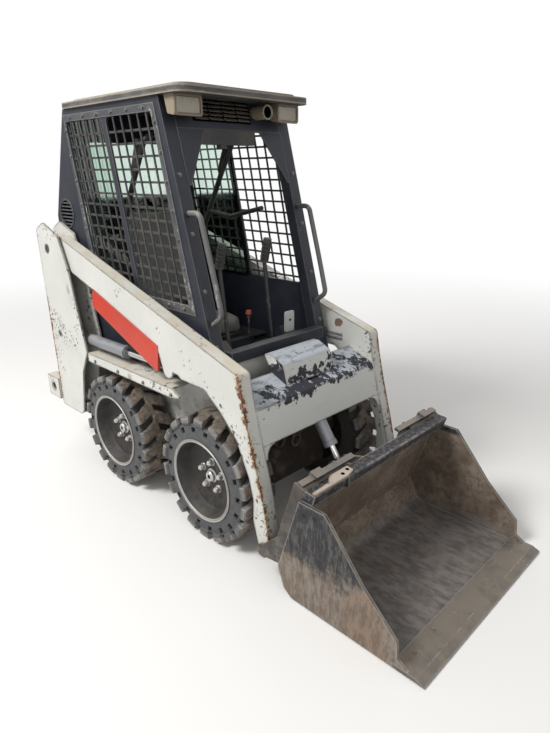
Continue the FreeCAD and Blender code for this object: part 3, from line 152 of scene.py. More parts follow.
def node(tree, kind, inputs=None, **settings):
    """A new node with its settings and the values or links of its inputs."""
    made = tree.nodes.new(kind)
    for name, value in settings.items():
        setattr(made, name, value)
    for name, value in (inputs or {}).items():
        socket = made.inputs[name]
        if isinstance(value, bpy.types.NodeSocket):
            tree.links.new(value, socket)
        else:
            socket.default_value = value
    return made


def shader_group(name, inputs, outputs):
    """An empty shader group with its named sockets, and its inner input and output nodes."""
    tree = bpy.data.node_groups.new(name, "ShaderNodeTree")
    kinds = {"value": "NodeSocketFloat", "colour": "NodeSocketColor", "vector": "NodeSocketVector"}
    for label, kind, default in inputs:
        tree.interface.new_socket(label, in_out="INPUT", socket_type=kinds[kind]).default_value = default
    for label, kind in outputs:
        tree.interface.new_socket(label, in_out="OUTPUT", socket_type=kinds[kind])
    return tree, tree.nodes.new("NodeGroupInput"), tree.nodes.new("NodeGroupOutput")


def maths(tree, operation, first, second=0.0, clamp=False):
    """The output of one Math node."""
    return node(tree, "ShaderNodeMath", {0: first, 1: second}, operation=operation, use_clamp=clamp).outputs[0]


def remap(tree, value, low, high, to_low=0.0, to_high=1.0):
    """A value eased from one range to another."""
    made = node(tree, "ShaderNodeMapRange", {"Value": value, "From Min": low, "From Max": high,
                                             "To Min": to_low, "To Max": to_high}, interpolation_type="SMOOTHSTEP")
    return made.outputs["Result"]


def speckle(tree, place, scale, detail=4.0, roughness=0.6):
    """The value of a noise at a place."""
    made = node(tree, "ShaderNodeTexNoise", {"Vector": place, "Scale": scale, "Detail": detail,
                                             "Roughness": roughness})
    return made.outputs["Fac"]


def mix(tree, share, first, second):
    """A colour between two others."""
    made = tree.nodes.new("ShaderNodeMix")
    made.data_type = "RGBA"
    for socket, value in ((made.inputs[0], share), (made.inputs[6], first), (made.inputs[7], second)):
        if isinstance(value, bpy.types.NodeSocket):
            tree.links.new(value, socket)
        else:
            socket.default_value = value
    return made.outputs[2]


def build_edge_wear():
    """Where corners have lost their paint, and chips away from them."""
    tree, given, result = shader_group(
        "Edge wear", [("Radius", "value", 0.006), ("Amount", "value", 0.5), ("Chips", "value", 0.2),
                      ("Scale", "value", 40.0)], [("Mask", "value")])
    place = node(tree, "ShaderNodeTexCoord").outputs["Object"]
    rounded = node(tree, "ShaderNodeBevel", {"Radius": given.outputs["Radius"]}, samples=4).outputs["Normal"]
    facing = node(tree, "ShaderNodeNewGeometry").outputs["Normal"]
    same = node(tree, "ShaderNodeVectorMath", {0: rounded, 1: facing}, operation="DOT_PRODUCT").outputs["Value"]
    bend = maths(tree, "MULTIPLY", maths(tree, "SUBTRACT", 1.0, same), 9.0)
    torn = speckle(tree, place, given.outputs["Scale"], 5.0, 0.65)
    patchy = speckle(tree, place, 4.0, 3.0)
    worn = maths(tree, "ADD", bend, maths(tree, "MULTIPLY", maths(tree, "SUBTRACT", torn, 0.55), 1.6))
    worn = maths(tree, "ADD", worn, maths(tree, "MULTIPLY", maths(tree, "SUBTRACT", patchy, 0.5), 1.3))
    worn = maths(tree, "MULTIPLY", remap(tree, worn, 0.12, 0.22), remap(tree, bend, 0.01, 0.06))
    worn = maths(tree, "MULTIPLY", worn, given.outputs["Amount"])
    spots = maths(tree, "ADD", torn, maths(tree, "MULTIPLY", patchy, 0.55))
    limit = maths(tree, "SUBTRACT", 1.12, maths(tree, "MULTIPLY", given.outputs["Chips"], 0.3))
    chips = remap(tree, maths(tree, "SUBTRACT", spots, limit), 0.0, 0.02)
    tree.links.new(maths(tree, "MAXIMUM", worn, chips, clamp=True), result.inputs["Mask"])
    return tree


def build_rust_runs():
    """Rust that has run down from seams, in narrow broken streaks, and blotches."""
    tree, given, result = shader_group(
        "Rust runs", [("Amount", "value", 0.3), ("Scale", "value", 14.0)], [("Mask", "value")])
    place = node(tree, "ShaderNodeTexCoord").outputs["Object"]
    stretched = node(tree, "ShaderNodeMapping", {"Vector": place, "Scale": (1.0, 1.0, 0.14)}).outputs["Vector"]
    runs = speckle(tree, stretched, given.outputs["Scale"], 6.0, 0.62)
    blotches = speckle(tree, place, 5.5, 5.0, 0.6)
    both = maths(tree, "ADD", maths(tree, "MULTIPLY", runs, 0.55), maths(tree, "MULTIPLY", blotches, 0.6))
    start = maths(tree, "SUBTRACT", 0.82, maths(tree, "MULTIPLY", given.outputs["Amount"], 0.32))
    mask = remap(tree, maths(tree, "SUBTRACT", both, start), -0.02, 0.12)
    tree.links.new(mask, result.inputs["Mask"])
    return tree


def build_settled_dust():
    """Dust that lies on upward faces and mud thrown on low parts."""
    tree, given, result = shader_group(
        "Settled dust", [("Amount", "value", 0.4), ("Splash height", "value", 0.55)], [("Mask", "value")])
    place = node(tree, "ShaderNodeTexCoord").outputs["Object"]
    up = node(tree, "ShaderNodeSeparateXYZ", {0: node(tree, "ShaderNodeNewGeometry").outputs["Normal"]}).outputs["Z"]
    height = node(tree, "ShaderNodeSeparateXYZ", {0: place}).outputs["Z"]
    cloud = speckle(tree, place, 9.0, 6.0, 0.62)
    lying = maths(tree, "MULTIPLY", remap(tree, up, 0.1, 0.95), remap(tree, cloud, 0.32, 0.62))
    low = maths(tree, "SUBTRACT", 1.0, maths(tree, "DIVIDE", height, given.outputs["Splash height"]), clamp=True)
    thrown = maths(tree, "MULTIPLY", low, remap(tree, speckle(tree, place, 22.0, 8.0, 0.7), 0.40, 0.62))
    film = maths(tree, "MULTIPLY", remap(tree, cloud, 0.35, 0.75), 0.30)
    whole = maths(tree, "MAXIMUM", maths(tree, "MAXIMUM", lying, thrown), film)
    tree.links.new(maths(tree, "MULTIPLY", whole, given.outputs["Amount"], clamp=True), result.inputs["Mask"])
    return tree


def build_corner_rust():
    """Rust that follows the arms' front corners and the towers' rear corners, with a paler stain beside it."""
    tree, given, result = shader_group("Corner rust", [("Width", "value", 0.017)],
                                       [("Mask", "value"), ("Stain", "value")])
    place = node(tree, "ShaderNodeTexCoord").outputs["Object"]
    parts = node(tree, "ShaderNodeSeparateXYZ", {0: place})
    across, y, z = (parts.outputs[label] for label in "XYZ")
    reach = []
    for foot, rise, face_x in ((along(0.635), 0.270, 0.435), (along(2.287), 0.0463, 0.455)):
        aside = maths(tree, "ABSOLUTE", maths(tree, "SUBTRACT", maths(tree, "ABSOLUTE", across), face_x))
        line = maths(tree, "ADD", maths(tree, "MULTIPLY", z, rise), foot)
        reach.append(maths(tree, "ADD", aside, maths(tree, "ABSOLUTE", maths(tree, "SUBTRACT", y, line))))
    near = maths(tree, "MINIMUM", reach[0], reach[1])
    coarse = speckle(tree, place, 17.0, 7.0, 0.68)
    fine = speckle(tree, place, 75.0, 6.0, 0.7)
    torn = maths(tree, "ADD", maths(tree, "MULTIPLY", coarse, 0.5), maths(tree, "MULTIPLY", fine, 0.5))
    shift = maths(tree, "MULTIPLY", maths(tree, "SUBTRACT", torn, 0.5), 0.16)
    edge = maths(tree, "SUBTRACT", near, shift)
    width = given.outputs["Width"]
    mask = remap(tree, maths(tree, "SUBTRACT", edge, width), 0.002, -0.002)
    stain = maths(tree, "MULTIPLY", remap(tree, maths(tree, "SUBTRACT", edge, width), 0.018, 0.0), 0.55)
    low = remap(tree, z, 0.95, 0.85)
    tree.links.new(maths(tree, "MULTIPLY", mask, low), result.inputs["Mask"])
    tree.links.new(maths(tree, "MULTIPLY", stain, low), result.inputs["Stain"])
    return tree


def build_grain():
    """Fine texture of sprayed paint, cast iron or moulded rubber."""
    tree, given, result = shader_group("Grain", [("Scale", "value", 300.0), ("Dents", "value", 0.0)],
                                       [("Height", "value")])
    place = node(tree, "ShaderNodeTexCoord").outputs["Object"]
    fine = speckle(tree, place, given.outputs["Scale"], 3.0)
    dents = maths(tree, "MULTIPLY", speckle(tree, place, 7.0, 2.0), given.outputs["Dents"])
    tree.links.new(maths(tree, "ADD", fine, dents), result.inputs["Height"])
    return tree


GROUPS = {}


def group(tree, name, inputs):
    """One of the shared groups placed in a material."""
    made = tree.nodes.new("ShaderNodeGroup")
    made.node_tree = GROUPS[name]
    for label, value in inputs.items():
        made.inputs[label].default_value = value
    return made


def new_material(name):
    """An empty material with a Principled surface."""
    material = bpy.data.materials.new(name)
    material.use_nodes = True
    tree = material.node_tree
    tree.nodes.clear()
    surface = tree.nodes.new("ShaderNodeBsdfPrincipled")
    output = tree.nodes.new("ShaderNodeOutputMaterial")
    tree.links.new(surface.outputs[0], output.inputs["Surface"])
    return material, tree, surface


def worn_finish(name, base, under, edges=0.8, chips=0.2, radius=0.006, runs=0.2, dust=0.4, gloss=0.45,
                grain=300.0, depth=0.0006, dents=0.0, metal=0.0, shade=0.25, splash=0.55, soil=None,
                caked_to=None, corners=False):
    """A coat over another colour: faded in patches, worn on its edges, rusted and dusty.

    Soil cakes everything in front of caked_to, and corners adds the rust along the arms' and towers' corners.
    """
    colours = bpy.context.scene.loader_finish
    wear = colours.wear
    material, tree, surface = new_material(name)
    place = node(tree, "ShaderNodeTexCoord").outputs["Object"]
    fade = remap(tree, speckle(tree, place, 3.5, 5.0, 0.6), 0.3, 0.75, 0.0, shade)
    darker = tuple(c * 0.55 for c in base[:3]) + (1.0,)
    coat = mix(tree, fade, base, darker)
    bare = group(tree, "edge_wear", {"Radius": radius, "Amount": min(1.0, edges * wear), "Chips": chips * wear})
    rusty = group(tree, "rust_runs", {"Amount": runs * wear})
    dusty = group(tree, "settled_dust", {"Amount": min(1.0, dust * wear), "Splash height": splash})
    spotted = mix(tree, remap(tree, speckle(tree, place, 60.0, 6.0, 0.7), 0.35, 0.60), colours.rust,
                  tuple(c * 0.16 for c in colours.rust[:3]) + (1.0,))
    coloured = mix(tree, bare.outputs["Mask"], coat, under)
    coloured = mix(tree, rusty.outputs["Mask"], coloured, spotted)
    if corners:
        facing = node(tree, "ShaderNodeNewGeometry").outputs["Normal"]
        up = node(tree, "ShaderNodeSeparateXYZ", {0: facing}).outputs["Z"]
        yellowed = maths(tree, "MULTIPLY", remap(tree, up, 0.3, 0.8), remap(tree, speckle(tree, place, 9.0), 0.3, 0.7))
        coloured = mix(tree, maths(tree, "MULTIPLY", yellowed, 0.6), coloured, (0.56, 0.49, 0.34, 1.0))
        struck = maths(tree, "MULTIPLY", remap(tree, speckle(tree, place, 6.0, 3.0, 0.5), 0.56, 0.62),
                       remap(tree, speckle(tree, place, 70.0, 3.0, 0.55), 0.585, 0.600))
        coloured = mix(tree, struck, coloured, (0.045, 0.036, 0.030, 1.0))
        parts = node(tree, "ShaderNodeSeparateXYZ", {0: place})
        across = maths(tree, "ABSOLUTE", parts.outputs["X"])
        folded = node(tree, "ShaderNodeCombineXYZ", {"X": across, "Y": parts.outputs["Y"], "Z": parts.outputs["Z"]})
        away = node(tree, "ShaderNodeVectorMath", {0: folded.outputs[0], 1: (0.372, along(1.030), 0.815)},
                    operation="DISTANCE").outputs["Value"]
        torn = maths(tree, "MULTIPLY", speckle(tree, place, 28.0, 7.0, 0.7), 0.12)
        soiled = remap(tree, maths(tree, "ADD", away, torn), 0.083, 0.076, 0.0, 0.85)
        soiled = maths(tree, "MULTIPLY", soiled, remap(tree, across, 0.400, 0.392))
        coloured = mix(tree, soiled, coloured, spotted)
        rust = group(tree, "corner_rust", {"Width": 0.009})
        coloured = mix(tree, rust.outputs["Stain"], coloured, (0.48, 0.37, 0.19, 1.0))
        coloured = mix(tree, rust.outputs["Mask"], coloured, spotted)
    lying = dusty.outputs["Mask"]
    if caked_to is not None:
        y = node(tree, "ShaderNodeSeparateXYZ", {0: place}).outputs["Y"]
        caked = remap(tree, speckle(tree, place, 11.0, 7.0, 0.65), 0.30, 0.50, 0.84, 1.0)
        lying = maths(tree, "MAXIMUM", lying, maths(tree, "MULTIPLY", caked, remap(tree, y, caked_to, caked_to - 0.02)))
    coloured = mix(tree, lying, coloured, soil or colours.dust)
    tree.links.new(coloured, surface.inputs["Base Color"])
    rough = maths(tree, "MAXIMUM", rusty.outputs["Mask"], lying)
    rough = remap(tree, rough, 0.0, 0.7, gloss, 0.88)
    tree.links.new(rough, surface.inputs["Roughness"])
    surface.inputs["Metallic"].default_value = metal
    height = group(tree, "grain", {"Scale": grain, "Dents": dents}).outputs["Height"]
    lowered = maths(tree, "SUBTRACT", height, maths(tree, "MULTIPLY", bare.outputs["Mask"], 0.8))
    bump = node(tree, "ShaderNodeBump", {"Height": lowered, "Distance": depth, "Strength": 0.6})
    tree.links.new(bump.outputs["Normal"], surface.inputs["Normal"])
    return material


# Mesh tools

def mesh_piece(name, shape, materials, smooth_angle=0.6):
    """A new object at the origin from a bmesh, with its materials and soft shading up to an angle."""
    mesh = bpy.data.meshes.new(name)
    shape.to_mesh(mesh)
    shape.free()
    for material in materials:
        mesh.materials.append(material)
    mesh.shade_smooth()
    mesh.set_sharp_from_angle(angle=smooth_angle)
    piece = bpy.data.objects.new(name, mesh)
    bpy.context.scene.collection.objects.link(piece)
    return piece


def settle(piece):
    """The piece with all its modifiers applied to its mesh."""
    view = bpy.context.evaluated_depsgraph_get()
    finished = bpy.data.meshes.new_from_object(piece.evaluated_get(view))
    piece.modifiers.clear()
    piece.data = finished
    return piece


def bevel(piece, width, segments=2, angle=0.7):
    """The piece with its sharp edges rounded."""
    cut = piece.modifiers.new("Rounded", "BEVEL")
    cut.width = width
    cut.segments = segments
    cut.limit_method = "ANGLE"
    cut.angle_limit = angle
    return settle(piece)


def box_into(shape, low, high, slot=0):
    """A box between two corners, added to a bmesh."""
    middle = (Vector(low) + Vector(high)) / 2
    size = Vector(high) - Vector(low)
    made = bmesh.ops.create_cube(shape, size=1.0, matrix=Matrix.Translation(middle) @ Matrix.Diagonal((*size, 1.0)))
    for face in {f for v in made["verts"] for f in v.link_faces}:
        face.material_index = slot


def turned_into(shape, profile, x_sign, axle, segments=96, slots=None):
    """A closed profile of (X, radius) turned about a wheel's axis, added to a bmesh."""
    rings = []
    for number in range(segments):
        turn = math.tau * number / segments
        rings.append([shape.verts.new((x_sign * x, axle[0] + r * math.cos(turn), axle[1] + r * math.sin(turn)))
                      for x, r in profile])
    faces = []
    for number in range(segments):
        here, following = rings[number], rings[(number + 1) % segments]
        for step in range(len(profile)):
            after = (step + 1) % len(profile)
            face = shape.faces.new((here[step], here[after], following[after], following[step]))
            face.material_index = slots[step] if slots else 0
            faces.append(face)
    return rings, faces


def prism_into(shape, outline, x0, x1, slot=0):
    """An outline of (Y, Z) places drawn out along X, added to a bmesh."""
    near = [shape.verts.new((x0, y, z)) for y, z in outline]
    far = [shape.verts.new((x1, y, z)) for y, z in outline]
    count = len(outline)
    faces = [shape.faces.new(near), shape.faces.new(far[::-1])]
    for number in range(count):
        after = (number + 1) % count
        faces.append(shape.faces.new((near[number], far[number], far[after], near[after])))
    for face in faces:
        face.material_index = slot
    bmesh.ops.recalc_face_normals(shape, faces=faces)


def rod_into(shape, start, end, radius, sides=24, slot=0, end_radius=None):
    """A round bar between two places, added to a bmesh."""
    start, end = Vector(start), Vector(end)
    run = end - start
    turn = run.to_track_quat("Z", "Y").to_matrix().to_4x4()
    made = bmesh.ops.create_cone(shape, cap_ends=True, segments=sides, radius1=radius,
                                 radius2=radius if end_radius is None else end_radius, depth=run.length,
                                 matrix=Matrix.Translation((start + end) / 2) @ turn)
    for face in {f for v in made["verts"] for f in v.link_faces}:
        face.material_index = slot


def loop_into(shape, rings, closed=False, slot=0):
    """Walls between rings of corners, closed at both ends or back on the first ring."""
    corners = [[shape.verts.new(place) for place in ring] for ring in rings]
    faces = []
    for step in range(len(corners) if closed else len(corners) - 1):
        here, following = corners[step], corners[(step + 1) % len(corners)]
        for number in range(len(here)):
            after = (number + 1) % len(here)
            faces.append(shape.faces.new((here[number], following[number], following[after], here[after])))
    if not closed:
        faces += [shape.faces.new(corners[0]), shape.faces.new(corners[-1][::-1])]
    for face in faces:
        face.material_index = slot
    bmesh.ops.recalc_face_normals(shape, faces=faces)


def panel_into(shape, lay, outline, near, far, slot=0):
    """A flat outline given thickness between two depths of a plane, added to a bmesh."""
    loop_into(shape, [[lay(a, b, depth) for a, b in outline] for depth in (near, far)], slot=slot)


def frame_into(shape, lay, outer, inner, near, far, slot=0):
    """A frame between two outlines of one plane, added to a bmesh."""
    sides = ((outer, near), (outer, far), (inner, far), (inner, near))
    loop_into(shape, [[lay(a, b, depth) for a, b in outline] for outline, depth in sides], True, slot)


def on_side(e, z, x):
    return x, along(e), z


def on_front(x, z, e):
    return x, along(e), z


def on_cab_front(x, z, depth):
    return x, along(1.083 + (z - 0.782) * 0.2753) + depth, z


def on_cab_rear(x, z, depth):
    return x, along(1.955 + (z - 0.986) * 0.21875) + depth, z


def on_top(x, e, z):
    return x, along(e), z


def circle(a, b, radius, count=32):
    """Corners of a circle in a plane."""
    turns = [math.tau * number / count for number in range(count)]
    return [(a + radius * math.cos(turn), b + radius * math.sin(turn)) for turn in turns]


def rounded(a0, b0, a1, b1, radius, steps=4):
    """Corners of a rectangle with rounded corners in a plane."""
    outline = []
    for number, (a, b) in enumerate(((a1, b1), (a0, b1), (a0, b0), (a1, b0))):
        middle_a, middle_b = a - math.copysign(radius, a - (a0 + a1) / 2), b - math.copysign(radius, b - (b0 + b1) / 2)
        for step in range(steps + 1):
            turn = math.pi / 2 * (number + step / steps)
            outline.append((middle_a + radius * math.cos(turn), middle_b + radius * math.sin(turn)))
    return outline


def pipe_into(shape, path, radius, slot=0, smooth=True, closed=False):
    """A round pipe swept along a path and closed at its ends, added to a bmesh."""
    line = bpy.data.curves.new("Path", "CURVE")
    line.dimensions = "3D"
    line.bevel_depth = radius
    line.bevel_resolution = 3
    line.resolution_u = 6
    line.use_fill_caps = True
    spline = line.splines.new("BEZIER" if smooth else "POLY")
    knots = spline.bezier_points if smooth else spline.points
    knots.add(len(path) - 1)
    for knot, place in zip(knots, path):
        if smooth:
            knot.co = place
            knot.handle_left_type = knot.handle_right_type = "AUTO"
        else:
            knot.co = (*place, 1.0)
    spline.use_cyclic_u = closed
    carrier = bpy.data.objects.new("Path", line)
    swept = bpy.data.meshes.new_from_object(carrier)
    start = len(shape.faces)
    shape.from_mesh(swept)
    shape.faces.ensure_lookup_table()
    for face in shape.faces[start:]:
        face.material_index = slot
    bpy.data.objects.remove(carrier)
    bpy.data.curves.remove(line)
    bpy.data.meshes.remove(swept)


def trim_piece(name, shape, slots, body, width=0.0010):
    """A finished piece of trim: edges rounded, named materials, fastened to a body."""
    piece = mesh_piece(name, shape, [MATERIALS[slot] for slot in slots], 0.6)
    if width:
        piece = bevel(piece, width, 2)
    return ride_and_slot(piece, body)


def surface_of(part, start, heading):
    """Where a ray meets a CAD node, and the way its surface faces there."""
    met, place, facing, _ = frame["nodes"][part].ray_cast(Vector(start), Vector(heading))
    if not met:
        raise RuntimeError(f"nothing of {part} is met from {tuple(start)}")
    return place, facing


def ride_and_slot(piece, body):
    """The piece fastened to a CAD body."""
    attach(piece, body)
    return piece


# Geometry Nodes

def repeat_tree(name):
    """A tree that repeats a small mesh round a wheel's axis and lays it at the axle."""
    tree = bpy.data.node_groups.new(name, "GeometryNodeTree")
    for label, kind in (("Geometry", "NodeSocketGeometry"), ("Count", "NodeSocketInt"),
                        ("Start turn", "NodeSocketFloat"), ("Axle", "NodeSocketVector"),
                        ("Finish", "NodeSocketMaterial")):
        tree.interface.new_socket(label, in_out="INPUT", socket_type=kind)
    tree.interface.new_socket("Geometry", in_out="OUTPUT", socket_type="NodeSocketGeometry")
    given = tree.nodes.new("NodeGroupInput")
    result = tree.nodes.new("NodeGroupOutput")
    points = tree.nodes.new("GeometryNodePoints")
    tree.links.new(given.outputs["Count"], points.inputs["Count"])
    tree.links.new(given.outputs["Axle"], points.inputs["Position"])
    number = tree.nodes.new("GeometryNodeInputIndex").outputs[0]
    share = maths(tree, "DIVIDE", number, given.outputs["Count"])
    turn = maths(tree, "ADD", maths(tree, "MULTIPLY", share, math.tau), given.outputs["Start turn"])
    lean = node(tree, "ShaderNodeCombineXYZ", {"X": turn}).outputs[0]
    copies = node(tree, "GeometryNodeInstanceOnPoints", {"Points": points.outputs[0],
                                                         "Instance": given.outputs["Geometry"], "Rotation": lean})
    solid = node(tree, "GeometryNodeRealizeInstances", {"Geometry": copies.outputs[0]})
    coated = node(tree, "GeometryNodeSetMaterial", {"Geometry": solid.outputs[0],
                                                    "Material": given.outputs["Finish"]})
    tree.links.new(coated.outputs[0], result.inputs["Geometry"])
    return tree


def row_tree(name):
    """A tree that repeats a small mesh in a straight row."""
    tree = bpy.data.node_groups.new(name, "GeometryNodeTree")
    for label, kind in (("Geometry", "NodeSocketGeometry"), ("Count", "NodeSocketInt"),
                        ("Step", "NodeSocketVector"), ("Finish", "NodeSocketMaterial")):
        tree.interface.new_socket(label, in_out="INPUT", socket_type=kind)
    tree.interface.new_socket("Geometry", in_out="OUTPUT", socket_type="NodeSocketGeometry")
    given = tree.nodes.new("NodeGroupInput")
    result = tree.nodes.new("NodeGroupOutput")
    row = node(tree, "GeometryNodeMeshLine", {"Count": given.outputs["Count"], "Offset": given.outputs["Step"]},
               mode="OFFSET")
    copies = node(tree, "GeometryNodeInstanceOnPoints", {"Points": row.outputs[0],
                                                         "Instance": given.outputs["Geometry"]})
    solid = node(tree, "GeometryNodeRealizeInstances", {"Geometry": copies.outputs[0]})
    coated = node(tree, "GeometryNodeSetMaterial", {"Geometry": solid.outputs[0],
                                                    "Material": given.outputs["Finish"]})
    tree.links.new(coated.outputs[0], result.inputs["Geometry"])
    return tree


def scatter_tree(name):
    """A tree that sets a small mesh on every point of another, turned to the point's normal."""
    tree = bpy.data.node_groups.new(name, "GeometryNodeTree")
    for label, kind in (("Geometry", "NodeSocketGeometry"), ("Fastener", "NodeSocketObject"),
                        ("Seed", "NodeSocketInt"), ("Finish", "NodeSocketMaterial")):
        tree.interface.new_socket(label, in_out="INPUT", socket_type=kind)
    tree.interface.new_socket("Geometry", in_out="OUTPUT", socket_type="NodeSocketGeometry")
    given = tree.nodes.new("NodeGroupInput")
    result = tree.nodes.new("NodeGroupOutput")
    head = node(tree, "GeometryNodeObjectInfo", {"Object": given.outputs["Fastener"]})
    facing = node(tree, "GeometryNodeInputNamedAttribute", {"Name": "facing"}, data_type="FLOAT_VECTOR")
    aim = node(tree, "FunctionNodeAlignRotationToVector", {"Vector": facing.outputs[0]}, axis="Z")
    spin = node(tree, "FunctionNodeRandomValue", {"Seed": given.outputs["Seed"]}, data_type="FLOAT")
    spun = node(tree, "FunctionNodeAxisAngleToRotation", {"Axis": (0.0, 0.0, 1.0),
                                                          "Angle": maths(tree, "MULTIPLY", spin.outputs[1], math.tau)})
    both = node(tree, "FunctionNodeRotateRotation", {"Rotation": aim.outputs[0], "Rotate By": spun.outputs[0]},
                rotation_space="LOCAL")
    copies = node(tree, "GeometryNodeInstanceOnPoints", {"Points": given.outputs["Geometry"],
                                                         "Instance": head.outputs["Geometry"],
                                                         "Rotation": both.outputs[0]})
    solid = node(tree, "GeometryNodeRealizeInstances", {"Geometry": copies.outputs[0]})
    coated = node(tree, "GeometryNodeSetMaterial", {"Geometry": solid.outputs[0],
                                                    "Material": given.outputs["Finish"]})
    tree.links.new(coated.outputs[0], result.inputs["Geometry"])
    return tree


def run_tree(piece, tree, values):
    """The piece's mesh after a Geometry Nodes tree has run on it, with named inputs set first."""
    step = piece.modifiers.new(tree.name, "NODES")
    step.node_group = tree
    sockets = {s.name: s.identifier for s in tree.interface.items_tree if s.in_out == "INPUT"}
    for label, value in values.items():
        step[sockets[label]] = value
    return settle(piece)


MATERIALS = {}


def stage_settings():
    """The scene's own groups of sizes and colours."""
    scene = bpy.context.scene
    return scene.loader_finish, scene.loader_tyre, scene.loader_seat, scene.loader_stage


# Operators

